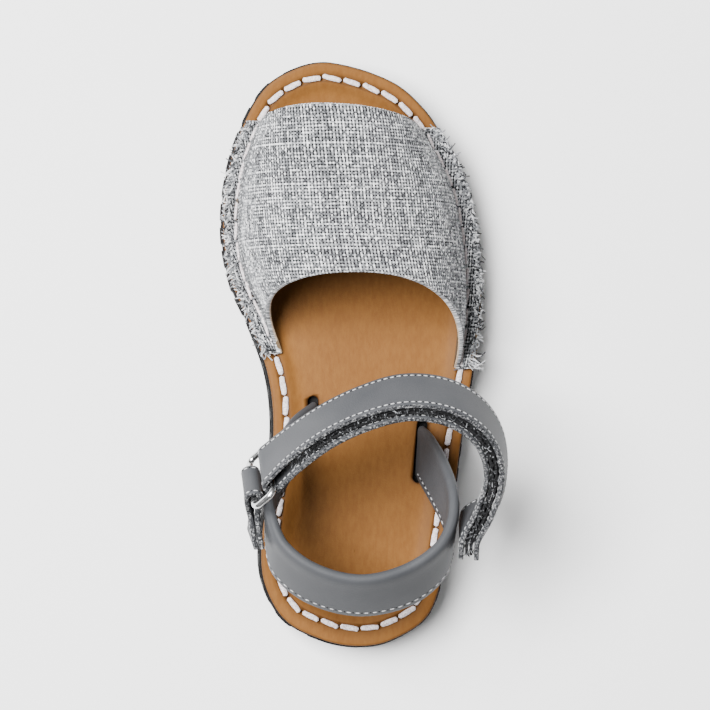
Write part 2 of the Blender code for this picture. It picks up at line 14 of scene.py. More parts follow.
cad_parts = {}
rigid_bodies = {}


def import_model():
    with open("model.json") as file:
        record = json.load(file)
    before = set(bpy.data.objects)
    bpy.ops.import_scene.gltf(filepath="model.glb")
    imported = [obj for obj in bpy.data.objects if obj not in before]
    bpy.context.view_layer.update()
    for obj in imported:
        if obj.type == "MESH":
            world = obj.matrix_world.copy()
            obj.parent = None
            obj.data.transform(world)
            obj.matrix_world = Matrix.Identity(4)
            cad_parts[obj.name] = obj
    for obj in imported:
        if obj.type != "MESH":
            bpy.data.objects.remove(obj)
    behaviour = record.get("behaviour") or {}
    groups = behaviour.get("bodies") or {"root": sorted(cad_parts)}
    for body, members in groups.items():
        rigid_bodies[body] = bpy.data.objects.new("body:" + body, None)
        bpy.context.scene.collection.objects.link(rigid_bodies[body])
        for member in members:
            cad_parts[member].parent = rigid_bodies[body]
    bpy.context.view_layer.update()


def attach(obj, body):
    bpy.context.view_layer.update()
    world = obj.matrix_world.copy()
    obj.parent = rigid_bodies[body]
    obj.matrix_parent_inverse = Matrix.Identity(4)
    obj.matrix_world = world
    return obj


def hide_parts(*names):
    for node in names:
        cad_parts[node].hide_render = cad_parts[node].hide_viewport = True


# Sizes of the solids, in metres
SOLE_LENGTH = 0.1508
BALL_WIDTH = 0.0674
HEEL_SEAT = 0.0253
GAP = 0.0003
FOREFOOT_HEIGHT = 0.0080
HEEL_HEIGHT = 0.0110
TOE_SPRING = 0.0055
ARCH_LIFT = 0.0016
LIP_HEIGHT = 0.0026
LUG_STEP = 0.0004
TREAD_ROUND = 0.0009
GROOVE_WIDTH = 0.0020
GROOVE_DEPTH = 0.0022
GROOVE_PITCH = 0.0062
TREAD_SPINE = 0.0120
INSOLE_THICK = 0.0025
INSOLE_DIP = 0.0007
STITCH_INSET = 0.0041
SEAM_TO_ARCH = 0.0019
VAMP_CROWN_CURVE = 0.92
VAMP_THICK = 0.0015
VAMP_FRONT_RISE = 0.0185
VAMP_THROAT_RISE = 0.0320
VAMP_BULGE = 0.0033
MEDIAL_HEM = 0.0018
LATERAL_HEM = 0.0004
HEEL_STRAP_WIDTH = 0.0172
HEEL_STRAP_THICK = 0.0028
HEEL_STRAP_HALF_SPAN = 0.0232
HEEL_STRAP_REACH = 0.0379
HEEL_STRAP_RISE = 0.0294
STRAP_IN_SLOT = 0.75
STRAP_WIDTH = 0.0140
STRAP_THICK = 0.0012
STRIP_WIDTH = 0.0126
STRIP_THICK = 0.0007
STRIP_GAP = 0.0004
STRAP_HALF_SPAN = 0.0333
STRAP_REACH = 0.0415
STRAP_CROWN = 0.0549
STRAP_DROP = 0.0140
STRAP_TAIL = 0.0050
STRAP_FRONT_Y = 0.0392
WIRE = 0.0016
RING_SPAN = 0.0064
KEEPER_WIDTH = 0.0110

OUTLINE = (
    (1.000, -0.080), (0.970, 0.147), (0.925, 0.274), (0.861, 0.371), (0.784, 0.447),
    (0.685, 0.489), (0.592, 0.498), (0.479, 0.472), (0.351, 0.423), (0.214, 0.383),
    (0.119, 0.349), (0.050, 0.286), (0.009, 0.141), (0.000, 0.015), (0.011, -0.119),
    (0.046, -0.267), (0.108, -0.347), (0.174, -0.362), (0.274, -0.335), (0.380, -0.316),
    (0.466, -0.337), (0.552, -0.404), (0.619, -0.471), (0.705, -0.507), (0.798, -0.494),
    (0.881, -0.442), (0.957, -0.344), (0.993, -0.208),
)
SPRING_START = 0.72
ARCH = (0.30, 0.57)
WEDGE = (0.28, 0.62)
HEEL_GROOVES = 4
TOE_REST = 0.645
TOE_GROOVES = (-2, 8)
TOE_EDGE = (0.896, 0.886)
THROAT_EDGE = (0.503, 0.478)
THROAT_CROWN = 0.633
THROAT_SWEEP = (0.50, 0.90)
VAMP_SQUARENESS = 2.25
CROWN_SHIFT = -0.06
HEEL_STRAP = (
    (0.80, 0.147, 0.27, (0.17, 0.88, 0.44), 0.80),
    (0.90, 0.282, 0.53, (0.15, 0.73, 0.67), 0.88),
    (0.98, 0.438, 0.75, (0.08, 0.57, 0.82), 0.95),
    (0.99, 0.601, 0.86, (-0.04, 0.47, 0.88), 1.00),
    (0.87, 0.778, 0.94, (-0.15, 0.50, 0.85), 1.00),
    (0.51, 0.936, 0.98, (-0.17, 0.57, 0.80), 1.00),
    (0.01, 1.000, 1.00, (-0.04, 0.59, 0.80), 1.00),
    (-0.49, 0.926, 0.98, (0.08, 0.56, 0.82), 1.00),
    (-0.83, 0.768, 0.94, (0.10, 0.52, 0.85), 1.00),
    (-0.94, 0.586, 0.85, (0.03, 0.53, 0.85), 1.00),
    (-0.94, 0.396, 0.70, (-0.07, 0.57, 0.82), 0.95),
    (-0.84, 0.206, 0.49, (-0.15, 0.68, 0.72), 0.88),
    (-0.66, 0.030, 0.24, (-0.15, 0.85, 0.51), 0.80),
)
HEEL_SECTION = (
    (-0.500, 0.12), (-0.485, 0.27), (-0.20, 0.38), (0.20, 0.43), (0.40, 0.50), (0.47, 0.38), (0.50, 0.12),
)
INSTEP_STRAP = (
    (-0.658, 0.421, 0.707, 30.0),
    (-0.486, 0.300, 0.471, 26.0),
    (-0.246, 0.164, 0.221, 26.0),
    (0.020, 0.062, 0.064, 29.0),
    (0.310, 0.000, 0.000, 33.0),
    (0.600, 0.022, 0.057, 33.0),
    (0.832, 0.122, 0.236, 27.0),
    (0.964, 0.273, 0.479, 17.0),
    (1.000, 0.459, 0.714, 9.0),
    (0.940, 0.658, 0.880, 6.0),
)
FIXED_END = (3.86, 0.10)
KEEPER_TAIL = ((10.72, 0.15), (10.38, 0.00), (10.00, -0.17))
STRAP_UPRIGHT = 0.0010
SLOT_ROWS = 3
SLOTS = ((0.0172, 0.0254, -5.0), (-0.0105, 0.0315, -2.0))  # outer and inner: middle x and y, degrees
SLOT_LINE = (SLOTS[0][1] + SLOTS[1][1]) / 2
LAID_SLACK = 0.0004
RING_SLACK = 0.0003
RING_CORNER = 0.0018
KEEPER_CLOSE = 0.55
STRIP_REACH = (0.14, 0.985)

# Sizes of the looks
SEAM_PITCH = 0.0052  # welt stitch
SEAM_GAP = 0.0004
SEAM_WIDTH = 0.00135
SEAM_HEIGHT = 0.0009
SEAM_INSETS = ((0.0, 0.0055), (0.10, 0.0048), (0.28, 0.0043), (0.45, 0.0041), (0.90, 0.0041), (1.0, 0.0046))
HEM_PINCH = 0.42  # share of a stitch's width that sinks into the hem
HEM_TROUGH = 0.0008  # how deep the seam pulls the hem down
HEM_FRAY = 0.0006  # how far the inner hem's frayed edge reaches past the solid's
HEM_FLAT = 0.72  # height of the hems' face, as a share of the vamp's thickness
TROUGH_WIDTH = 0.0008  # of the groove that the seam pulls into the hem
HEM_PUFF = 0.00022  # how much the cloth swells between two stitches
PUFF_OUT = 0.0020  # from the seam out to the middle of the swelling
PUFF_WIDTH = 0.0011
CLOTH_SIDE = 0.0008  # a point of the vamp thicker than this lies on the cloth
TURN_DOWN = 0.0030  # how steeply the cloth's edge goes down past the hems
YARN = 0.00086  # pitch of the cloth's yarns
YARN_RELIEF = 0.00014
CLOTH_REACH = 190  # grid lines of the cloth on each side of the crown
CLOTH_SLACK = (7, 0.02, 5, 0.00016)  # the cloth's unevenness: waves, pitch, seed, height
CLOTH_TONE = 0.81  # the yarns' middle tone, from black at 0 to white at 1
YARN_TONES = (0.05, -0.06)  # how much paler the lengthwise yarns and the crosswise yarns are
RUN_SPREAD = (0.10, 0.06)  # random tones: along a yarn, and from one yarn to the next
SPOT_SPREAD = 0.13  # from one crossing to the next
SPOT_TABLE = (400, 400)
DARK_SPOTS = (0.04, -0.30)  # share of the crossings that are darker, and by how much
BESIDE_SHADE = -0.16  # painted shade of a yarn where it runs between two crossings
FACE_SPREAD = 0.08  # from one face to the next
SEAM_TROUGH_SHADE = (0.22, 0.0009, 0.0005)  # painted shade in the trough beside the welt seam: darkness, inset, width
FRAY_PITCH = (0.00011, 0.00013)  # on the inner and the outer hem
FRAY_LENGTH = (0.0005, 0.0011)
FRAY_RADIUS = (0.00015, 0.00024)
FRAY_CORNER = 0.0025  # length of hem at the throat whose yarns are longer
PILE_PITCH = 0.00017
PILE_LENGTH = (0.0007, 0.0013)
PILE_RADIUS = (0.00007, 0.00013)
LINING_INSET = 0.0006  # how far the lining's outer face lies below the cloth
SLOT_DARK_FADE = 0.0004  # how far the dark edge round a slot fades
DIP_START = 0.0006  # from the seam inward to where the foot's bed begins
DIP_RUN = 0.0040  # over which the bed reaches its full depth
SEAM_PRESS = 0.00025  # depth of the pressed line under the welt seam
NEEDLE_WIDTH = 0.00045
NEEDLE_DEPTH = 0.0006  # depth of the welt seam's needle holes
STITCH_MARGIN = 0.0012  # from the strap's long edge to its stitches
KEEPER_MARGIN = 0.0010
WIRE_SIDES = 16
PILE_START = 0.07  # share of the strap's upper layer at which pile first shows
RIM_STEPS = 330  # places along each side of the sole
FINE_STEPS = 16  # steps between two rows of a strap

DIM = 0.24  # every colour's share of its nominal value, under this strong key light

SEED = np.random.default_rng(7)


# Small helpers

def unit(vector):
    return vector / np.linalg.norm(vector)


def units(vectors):
    return vectors / np.maximum(np.linalg.norm(vectors, axis=-1, keepdims=True), 1e-12)


def turned(x, y, angle):
    return x * np.cos(angle) - y * np.sin(angle), x * np.sin(angle) + y * np.cos(angle)


def arc_along(line):
    """Length along the line from its start to each of its points."""
    return np.concatenate([[0.0], np.cumsum(np.linalg.norm(np.diff(line, axis=0), axis=1))])


def at_arc(where, arc, values):
    """The rows of values at some lengths along their arc."""
    return np.stack([np.interp(where, arc, column) for column in values.T], axis=-1)


def smoothstep(value):
    held = np.clip(value, 0.0, 1.0)
    return held * held * (3.0 - 2.0 * held)


def spline(rows, steps, closed=False):
    """Points on a smooth curve through the rows, with the same number of steps between each two."""
    rows = [np.array(row, dtype=float) for row in rows]
    count = len(rows)

    def apart(first, second):
        return max(np.linalg.norm((second - first)[:3]), 1e-9)

    spans = count if closed else count - 1
    points = []
    for span in range(spans):
        start, end = rows[span], rows[(span + 1) % count]
        before = rows[span - 1] if closed or span else start
        after = rows[(span + 2) % count] if closed or span + 2 < count else end
        here = apart(start, end)
        leave = (end - before) * here / (here + apart(before, start))
        arrive = (after - start) * here / (here + apart(end, after))
        for step in range(steps):
            t = step / steps
            points.append(
                (2 * t**3 - 3 * t**2 + 1) * start + (t**3 - 2 * t**2 + t) * leave
                + (3 * t**2 - 2 * t**3) * end + (t**3 - t**2) * arrive
            )
    if not closed:
        points.append(rows[-1])
    return np.array(points)


def waves(points, count, pitch, seed):
    """Smooth random values at points, about -1 to 1, from a few waves of about that pitch."""
    chance = np.random.default_rng(seed)
    total = np.zeros(len(points))
    for _ in range(count):
        direction = unit(chance.normal(size=points.shape[1]))
        length = pitch * chance.uniform(0.7, 1.5)
        total += np.sin(points @ direction * 2 * math.pi / length + chance.uniform(0, 2 * math.pi))
    return total / math.sqrt(count)


def face_outward(mesh, weld=0.0):
    """Turns the faces outward, after joining points closer than the weld."""
    work = bmesh.new()
    work.from_mesh(mesh)
    if weld:
        bmesh.ops.remove_doubles(work, verts=work.verts, dist=weld)
    bmesh.ops.recalc_face_normals(work, faces=work.faces)
    work.to_mesh(mesh)
    work.free()


def add_mesh(name, points, faces, sharp=40.0, closed=True):
    mesh = bpy.data.meshes.new(name)
    mesh.from_pydata(np.asarray(points).tolist(), [], faces if isinstance(faces, list) else faces.tolist())
    if closed:
        face_outward(mesh)
    mesh.shade_smooth()
    mesh.set_sharp_from_angle(angle=math.radians(sharp))
    return link(bpy.data.objects.new(name, mesh))


def link(item):
    bpy.context.scene.collection.objects.link(item)
    return item


def give(part, name, values, domain="POINT"):
    """Keeps one value per point or face on the mesh, for the material."""
    kept = part.data.attributes.new(name, "FLOAT", domain)
    kept.data.foreach_set("value", np.asarray(values, dtype=np.float32))


def settle(part, finish, stands_for=()):
    """Material, place on the frame, and the solids that the piece stands for."""
    for one in finish if isinstance(finish, (list, tuple)) else (finish,):
        part.data.materials.append(one)
    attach(part, "root")
    if stands_for:
        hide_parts(*stands_for)
    return part


# Materials

class Finish:
    """A material under construction: the shader, and short ways to add nodes."""

    def __init__(self, name, roughness=0.6, metallic=0.0, specular=0.5):
        self.material = bpy.data.materials.new(name)
        self.material.use_nodes = True
        self.tree = self.material.node_tree
        self.shader = self.tree.nodes["Principled BSDF"]
        self.shader.inputs["Roughness"].default_value = roughness
        self.shader.inputs["Metallic"].default_value = metallic
        self.shader.inputs["Specular IOR Level"].default_value = specular
        self.place = self.node("ShaderNodeTexCoord").outputs["Object"]

    def node(self, kind, values=(), **settings):
        """A node with its own settings and some of its inputs' values."""
        made = self.tree.nodes.new(kind)
        for key, value in settings.items():
            setattr(made, key, value)
        for key, value in dict(values).items():
            made.inputs[key].default_value = value
        return made

    def link(self, output, target):
        self.tree.links.new(output, target)

    def noise(self, scale, detail=4.0, rough=0.55, stretch=(1, 1, 1)):
        placed = self.node("ShaderNodeMapping", {"Scale": stretch})
        self.link(self.place, placed.inputs["Vector"])
        made = self.node("ShaderNodeTexNoise", {"Scale": scale, "Detail": detail, "Roughness": rough})
        self.link(placed.outputs["Vector"], made.inputs["Vector"])
        return made.outputs["Fac"]

    def cells(self, scale):
        made = self.node("ShaderNodeTexVoronoi", {"Scale": scale})
        self.link(self.place, made.inputs["Vector"])
        return made.outputs["Distance"]

    def kept(self, name):
        return self.node("ShaderNodeAttribute", attribute_name=name).outputs["Fac"]

    def ramp(self, value, stops):
        made = self.node("ShaderNodeValToRGB")
        ramp = made.color_ramp
        while len(ramp.elements) < len(stops):
            ramp.elements.new(0.5)
        for element, (at, colour) in zip(ramp.elements, stops):
            element.position = at
            element.color = (*(part * DIM for part in colour), 1.0)
        self.link(value, made.inputs["Fac"])
        return made.outputs["Color"]

    def mix(self, share, first, second, blend="MIX"):
        made = self.node("ShaderNodeMix", data_type="RGBA", blend_type=blend)
        for value, target in ((share, 0), (first, 6), (second, 7)):
            if isinstance(value, (int, float)):
                made.inputs[target].default_value = value
            elif isinstance(value, tuple):
                made.inputs[target].default_value = (*value, 1.0)
            else:
                self.link(value, made.inputs[target])
        return made.outputs[2]

    def sum(self, first, second, first_share=1.0, second_share=1.0):
        total = self.node("ShaderNodeMath", operation="ADD")
        for place, (value, share) in enumerate(((first, first_share), (second, second_share))):
            scaled = self.node("ShaderNodeMath", {1: share}, operation="MULTIPLY")
            self.link(value, scaled.inputs[0])
            self.link(scaled.outputs[0], total.inputs[place])
        return total.outputs[0]

    def span(self, value, low, high):
        made = self.node("ShaderNodeMapRange", {"To Min": low, "To Max": high})
        self.link(value, made.inputs["Value"])
        return made.outputs["Result"]

    def bump(self, height, distance, strength=1.0):
        made = self.node("ShaderNodeBump", {"Distance": distance, "Strength": strength})
        self.link(height, made.inputs["Height"])
        self.link(made.outputs["Normal"], self.shader.inputs["Normal"])

    def colour(self, output):
        self.link(output, self.shader.inputs["Base Color"])

    def roughness(self, output):
        self.link(output, self.shader.inputs["Roughness"])


def rubber():
    made = Finish("black_rubber", 0.75, specular=0.15)
    grain = made.noise(900.0, 6.0, 0.7)
    stops = ((0.3, (0.010, 0.010, 0.011)), (0.75, (0.045, 0.043, 0.042)))
    made.colour(made.ramp(made.noise(160.0, 5.0), stops))
    made.roughness(made.span(grain, 0.6, 0.9))
    made.bump(made.sum(grain, made.cells(1400.0)), 0.00025, 0.9)
    return made.material


def insole_leather():
    made = Finish("tan_leather", 0.55, specular=0.08)
    cloud = made.noise(55.0, 5.0, 0.6)
    fibre = made.noise(900.0, 5.0, 0.65, (1.0, 0.35, 1.0))
    base = made.ramp(cloud, ((0.30, (0.58, 0.232, 0.052)), (0.70, (0.71, 0.298, 0.070))))
    fine = made.ramp(fibre, ((0.35, (0.50, 0.188, 0.040)), (0.65, (0.79, 0.352, 0.092))))
    base = made.mix(0.35, base, fine)
    # Darker where the dark attribute says so: the raw edge's own darker tone, the dark edge round the slots,
    # and painted shade in the needle holes and beside and just inside the welt seam
    base = made.mix(made.kept("dark"), base, (0.055 * DIM, 0.018 * DIM, 0.006 * DIM))
    made.colour(base)
    made.roughness(made.span(fibre, 0.42, 0.62))
    made.bump(made.sum(made.cells(2600.0), fibre, 0.6, 0.6), 0.00006, 0.5)
    return made.material


def fibrous(name, roughness, specular, noise, stops, depth, strength):
    """A material whose colour and relief follow one fine noise."""
    made = Finish(name, roughness, specular=specular)
    fibre = made.noise(*noise)
    made.colour(made.ramp(fibre, stops))
    made.bump(fibre, depth, strength)
    return made.material


def lining_leather():
    stops = ((0.3, (0.36, 0.22, 0.11)), (0.7, (0.62, 0.45, 0.28)))
    return fibrous("lining_leather", 0.7, 0.12, (1200.0, 5.0, 0.7), stops, 0.0001, 0.6)


def cloth(name="linen"):
    made = Finish(name, 0.95, specular=0.15)
    made.shader.inputs["Sheen Weight"].default_value = 0.08
    fibre = made.noise(5200.0, 3.0, 0.7)
    tone = made.ramp(made.kept("tone"), (
        (0.00, (0.010, 0.011, 0.013)), (0.25, (0.070, 0.073, 0.080)), (0.50, (0.290, 0.298, 0.318)),
        (0.75, (1.150, 1.180, 1.230)), (1.00, (3.700, 3.700, 3.720)),
    ))
    fine = made.ramp(fibre, ((0.3, (0.62 / DIM,) * 3), (0.7, (1.0 / DIM,) * 3)))
    made.colour(made.mix(0.5, tone, fine, "MULTIPLY"))
    made.bump(fibre, 0.00012, 0.8)
    return made.material


def grey_leather():
    made = Finish("grey_leather", 0.5, specular=0.12)
    cloud = made.noise(90.0, 4.0, 0.5)
    pebble = made.cells(2300.0)
    fine = made.noise(4200.0, 3.0, 0.6)
    made.colour(made.ramp(cloud, ((0.3, (0.188, 0.196, 0.214)), (0.7, (0.236, 0.243, 0.260)))))
    made.roughness(made.span(fine, 0.42, 0.60))
    made.bump(made.sum(pebble, fine, 0.8, 0.4), 0.00007, 0.55)
    return made.material


def cut_edge():
    """Raw cut edge of the strap leather: pale and dark fibres side by side."""
    stops = (
        (0.38, (0.020, 0.021, 0.025)), (0.47, (0.100, 0.104, 0.116)),
        (0.54, (0.260, 0.265, 0.280)), (0.63, (1.600, 1.600, 1.600)),
    )
    return fibrous("cut_leather_edge", 0.85, 0.2, (1700.0, 4.0, 0.8), stops, 0.0003, 0.9)


def thread(name, colour, shade):
    stops = ((0.3, shade), (0.62, colour))
    return fibrous(name, 0.6, 0.12, (2600.0, 3.0, 0.6), stops, 0.0001, 0.6)


def pile(name, light):
    stops = ((0.35, (0.012, 0.013, 0.015)), (0.7, (light, light, light * 1.06)))
    return fibrous(name, 0.9, 0.2, (3000.0, 4.0, 0.8), stops, 0.0004, 1.0)


def steel():
    made = Finish("polished_steel", 0.2, 1.0)
    cloud = made.noise(700.0, 4.0, 0.6)
    made.colour(made.ramp(cloud, ((0.3, (0.60 / DIM,) * 3), (0.7, (0.72 / DIM,) * 3))))
    made.roughness(made.span(cloud, 0.12, 0.30))
    made.bump(cloud, 0.00003, 0.4)
    return made.material


# Sole's curves

def share_of(y):
    return (y + HEEL_SEAT) / SOLE_LENGTH


def along(share):
    return share * SOLE_LENGTH - HEEL_SEAT


def spring_of(y):
    return TOE_SPRING * np.maximum(0.0, (share_of(y) - SPRING_START) / (1.0 - SPRING_START)) ** 2


def tread_height(y):
    arch = np.sin(math.pi * np.clip((share_of(y) - ARCH[0]) / (ARCH[1] - ARCH[0]), 0.0, 1.0)) ** 2
    return spring_of(y) + ARCH_LIFT * arch


def sole_top(y):
    wedge = 1.0 - smoothstep((share_of(y) - WEDGE[0]) / (WEDGE[1] - WEDGE[0]))
    return spring_of(y) + FOREFOOT_HEIGHT + (HEEL_HEIGHT - FOREFOOT_HEIGHT) * wedge


def insole_rim(y):
    return sole_top(y) + GAP + INSOLE_THICK


OUTLINE_CURVE = spline([(across * BALL_WIDTH, along(share)) for share, across in OUTLINE], 60, closed=True)
OUTLINE_AHEAD = units(np.roll(OUTLINE_CURVE, -1, axis=0) - np.roll(OUTLINE_CURVE, 1, axis=0))
OUTLINE_INWARD = np.stack([OUTLINE_AHEAD[:, 1], -OUTLINE_AHEAD[:, 0]], axis=1)


# The welt seam's own distance from the edge, place by place
SEAM_INSET = np.interp(share_of(OUTLINE_CURVE[:, 1]), *zip(*SEAM_INSETS))


def two_sides(inset):
    """The outline's inner and outer side, each as x and y from heel to toe."""
    points = OUTLINE_CURVE + OUTLINE_INWARD * np.reshape(inset, (-1, 1))
    points = np.roll(points, -int(np.argmax(points[:, 1])), axis=0)
    heel = int(np.argmin(points[:, 1]))
    return np.vstack([points[heel:], points[:1]]), points[: heel + 1][::-1]


def side_x(sides, y):
    inner, outer = sides
    return np.interp(y, inner[:, 1], inner[:, 0]), np.interp(y, outer[:, 1], outer[:, 0])


def loop(inset):
    """The outline moved in, as a closed row of x and y: up the outer side and back down the inner one.
    The places on the two sides pair up, with the same y."""
    sides = two_sides(inset)
    share = (1.0 - np.cos(math.pi * np.arange(RIM_STEPS + 1) / RIM_STEPS)) / 2.0
    low, high = sides[0][0, 1], sides[0][-1, 1]
    y = low + (high - low) * share
    left, right = side_x(sides, y)
    for end in (0, -1):
        left[end] = right[end] = sides[1][end, 0]
    outer = np.stack([right, y], axis=1)
    inner = np.stack([left, y], axis=1)[1:-1][::-1]
    return np.vstack([outer, inner])


def bands(rows, count, closed=True):
    """Quads between rows of points that follow each other in one list."""
    faces = []
    for row in range(rows - 1):
        for step in range(count if closed else count - 1):
            ahead = (step + 1) % count
            first, second = row * count, (row + 1) * count
            faces.append([first + step, first + ahead, second + ahead, second + step])
    return faces


def many_tubes(name, points, length, sides):
    """One mesh of many closed tubes. Each has as many rings as its length, and as many points round a
    ring as it has sides."""
    points = points.reshape(-1, 3)
    size = length * sides
    starts = np.arange(0, len(points), size)
    faces = (np.array(bands(length, sides))[None] + starts[:, None, None]).reshape(-1, 4).tolist()
    for first in starts.tolist():
        faces.append(list(range(first, first + sides)))
        faces.append(list(range(first + size - sides, first + size)))
    return add_mesh(name, points, faces)


def cap(first, count):
    """Strip of faces that closes a paired loop."""
    faces = []
    half = count // 2
    for step in range(half):
        corners = (step, step + 1, (count - step - 1) % count, (count - step) % count)
        corners = list(dict.fromkeys(first + corner for corner in corners))
        if len(corners) > 2:
            faces.append(corners)
    return faces


def cut(part, cutter):
    cutter.hide_render = True
    cutter.hide_viewport = True
    modifier = part.modifiers.new("cut", "BOOLEAN")
    modifier.operation = "DIFFERENCE"
    modifier.solver = "EXACT"
    modifier.object = cutter
    bpy.context.view_layer.update()
    graph = bpy.context.evaluated_depsgraph_get()
    mesh = bpy.data.meshes.new_from_object(part.evaluated_get(graph))
    part.modifiers.clear()
    part.data = mesh
    bpy.data.objects.remove(cutter, do_unlink=True)


# Outsole

def lug_wave(y):
    """1 on a lug, 0 in the notch beside it."""
    phase = ((y - along(TOE_REST)) / GROOVE_PITCH) % 1.0
    away = np.minimum(phase, 1.0 - phase) * GROOVE_PITCH
    return smoothstep((away - GROOVE_WIDTH / 2 + 0.0003) / 0.0006)


def outsole():
    edge, drawn_in, lip = loop(0.0), loop(TREAD_ROUND), loop(LUG_STEP)
    half_drawn = loop(TREAD_ROUND * 0.3)
    share = lug_wave(edge[:, 1])[:, None]
    lugged = edge * share + loop(LUG_STEP * 1.6) * (1.0 - share)
    top = sole_top(edge[:, 1])
    low = tread_height(edge[:, 1])
    rows = [
        (drawn_in, low),
        (half_drawn, low + TREAD_ROUND * 0.3),
        (edge, low + TREAD_ROUND),
        (lugged, (low + top) / 2 - 0.0004),
        (lugged, top - LIP_HEIGHT - LUG_STEP),
        (lip, top - LIP_HEIGHT),
        (lip, top - 0.0002),
        (loop(LUG_STEP + 0.0003), top),
    ]
    points = np.vstack([np.column_stack([row, height]) for row, height in rows])
    count = len(edge)
    faces = bands(len(rows), count) + cap(0, count) + cap((len(rows) - 1) * count, count)
    part = add_mesh("outsole_rubber", points, faces, sharp=35.0)

    work = bmesh.new()
    heel = [step * GROOVE_PITCH for step in range(-HEEL_GROOVES, HEEL_GROOVES + 1)]
    toe = [along(TOE_REST) + step * GROOVE_PITCH for step in range(TOE_GROOVES[0], TOE_GROOVES[1] + 1)]
    for y in heel + toe:
        for side in (-1, 1):
            made = bmesh.ops.create_cube(work, size=1.0)["verts"]
            bmesh.ops.scale(work, vec=(BALL_WIDTH, GROOVE_WIDTH, HEEL_HEIGHT), verts=made)
            z = float(tread_height(y)) + GROOVE_DEPTH - HEEL_HEIGHT / 2
            bmesh.ops.translate(work, vec=(side * (TREAD_SPINE + BALL_WIDTH) / 2, y, z), verts=made)
    mesh = bpy.data.meshes.new("grooves")
    work.to_mesh(mesh)
    work.free()
    cut(part, link(bpy.data.objects.new("grooves", mesh)))
    return settle(part, rubber(), ["outsole"])


# Insole and its welt seam

SEAM = loop(SEAM_INSET)
SEAM_ARC = arc_along(SEAM)
SEAM_LENGTH = SEAM_ARC[-1] + np.linalg.norm(SEAM[0] - SEAM[-1])
SEAM_COUNT = round(SEAM_LENGTH / SEAM_PITCH)
SEAM_STEP = SEAM_LENGTH / SEAM_COUNT


def seam_point(arc):
    return at_arc(arc % SEAM_LENGTH, np.append(SEAM_ARC, SEAM_LENGTH), np.vstack([SEAM, SEAM[:1]]))


def insole():
    """Leather footbed with a pressed seam line, needle holes, a shallow bed and the two strap slots."""
    rim = ((0.0009, INSOLE_THICK), (0.0009, 0.0004), (0.00098, 0.00018), (0.00118, 0.00005), (0.0015, 0.0),
           (0.0021, 0.0), (0.0027, 0.0))
    beside_seam = [*np.arange(-0.0011, 0.00131, 0.0002), 0.0019, 0.0027, 0.0036, 0.0046]
    levels = [(inset, drop, None) for inset, drop in rim]
    levels += [(SEAM_INSET + beside, 0.0, beside) for beside in beside_seam]
    hole = np.abs(((SEAM_ARC / SEAM_STEP + 0.5) % 1.0) - 0.5) * SEAM_STEP
    points, dark = [], []
    for inset, drop, beside in levels:
        row = loop(inset)
        height = insole_rim(row[:, 1]) - drop
        # The raw edge and its rounded rim get the leather's own darker tone
        shade = np.full(len(row), 0.35 if drop == INSOLE_THICK else 0.22 if drop else 0.0)
        if beside is not None:
            press = SEAM_PRESS * math.exp(-((beside / 0.0008) ** 2))
            pierced = np.exp(-((hole / NEEDLE_WIDTH) ** 2)) * math.exp(-((beside / 0.00055) ** 2))
            height = height - press - NEEDLE_DEPTH * pierced
            height = height - INSOLE_DIP * smoothstep((beside - DIP_START) / DIP_RUN)
            # Painted shade: dark in the needle holes and in a line on each side of the pressed seam
            shade = pierced * 1.1 + 0.5 * math.exp(-(((abs(beside) - 0.00085) / 0.0003) ** 2))
            # Painted shade just inside the seam, where the bed dips
            shade = shade + 0.16 * math.exp(-(((beside - 0.0022) / 0.0012) ** 2))
        points.append(np.column_stack([row, height]))
        dark.append(np.clip(shade, 0.0, 1.0))
    inner = points[-1]
    count = len(inner)
    half = count // 2
    place = np.concatenate([np.arange(half + 1), np.arange(half - 1, 0, -1)]) / half
    share = (1.0 - np.cos(math.pi * place)) / 2.0
    spine_y = along(0.17 + 0.64 * share)
    left, right = side_x(two_sides(0.0), spine_y)
    spine = np.stack([(left + right) / 2, spine_y], axis=1)
    for step in range(1, 13):
        part = step / 12
        row = inner[:, :2] * (1 - part) + spine * part
        points.append(np.column_stack([row, insole_rim(row[:, 1]) - INSOLE_DIP]))
        dark.append(np.zeros(count))
    rows = len(points)
    points = np.vstack(points)
    faces = bands(rows, count) + cap(0, count)
    part = add_mesh("insole_leather", points, faces, closed=False)
    give(part, "dark", np.concatenate(dark))
    face_outward(part.data, weld=1e-6)
    part.data.set_sharp_from_angle(angle=math.radians(50))

    half_width = HEEL_STRAP_THICK * STRAP_IN_SLOT / 2 + GAP
    half_length = HEEL_STRAP_WIDTH * STRAP_IN_SLOT / 2 + GAP
    cut(part, slot_cutter(half_width, half_length))
    darken_slots(part, half_width, half_length)
    part.data.materials.clear()
    return settle(part, insole_leather(), ["insole"])


def slot_cutter(half_width, half_length):
    """The two strap slots as solids, round at both ends."""
    angle = math.pi * np.arange(17) / 16
    rim = [(half_width * math.cos(a), half_length + half_width * math.sin(a)) for a in angle]
    rim += [(-x, -y) for x, y in rim]
    size = len(rim)
    points, faces = [], []
    for middle_x, middle_y, degrees in SLOTS:
        first = len(points)
        for height in (HEEL_HEIGHT - INSOLE_THICK, HEEL_HEIGHT + 2 * INSOLE_THICK):
            for place in rim:
                x, y = turned(*place, math.radians(degrees))
                points.append((middle_x + x, middle_y + y, height))
        flat = [list(range(size)), list(range(size, 2 * size))]
        faces += [[first + corner for corner in face] for face in flat + bands(2, size)]
    return add_mesh("slots", points, faces)


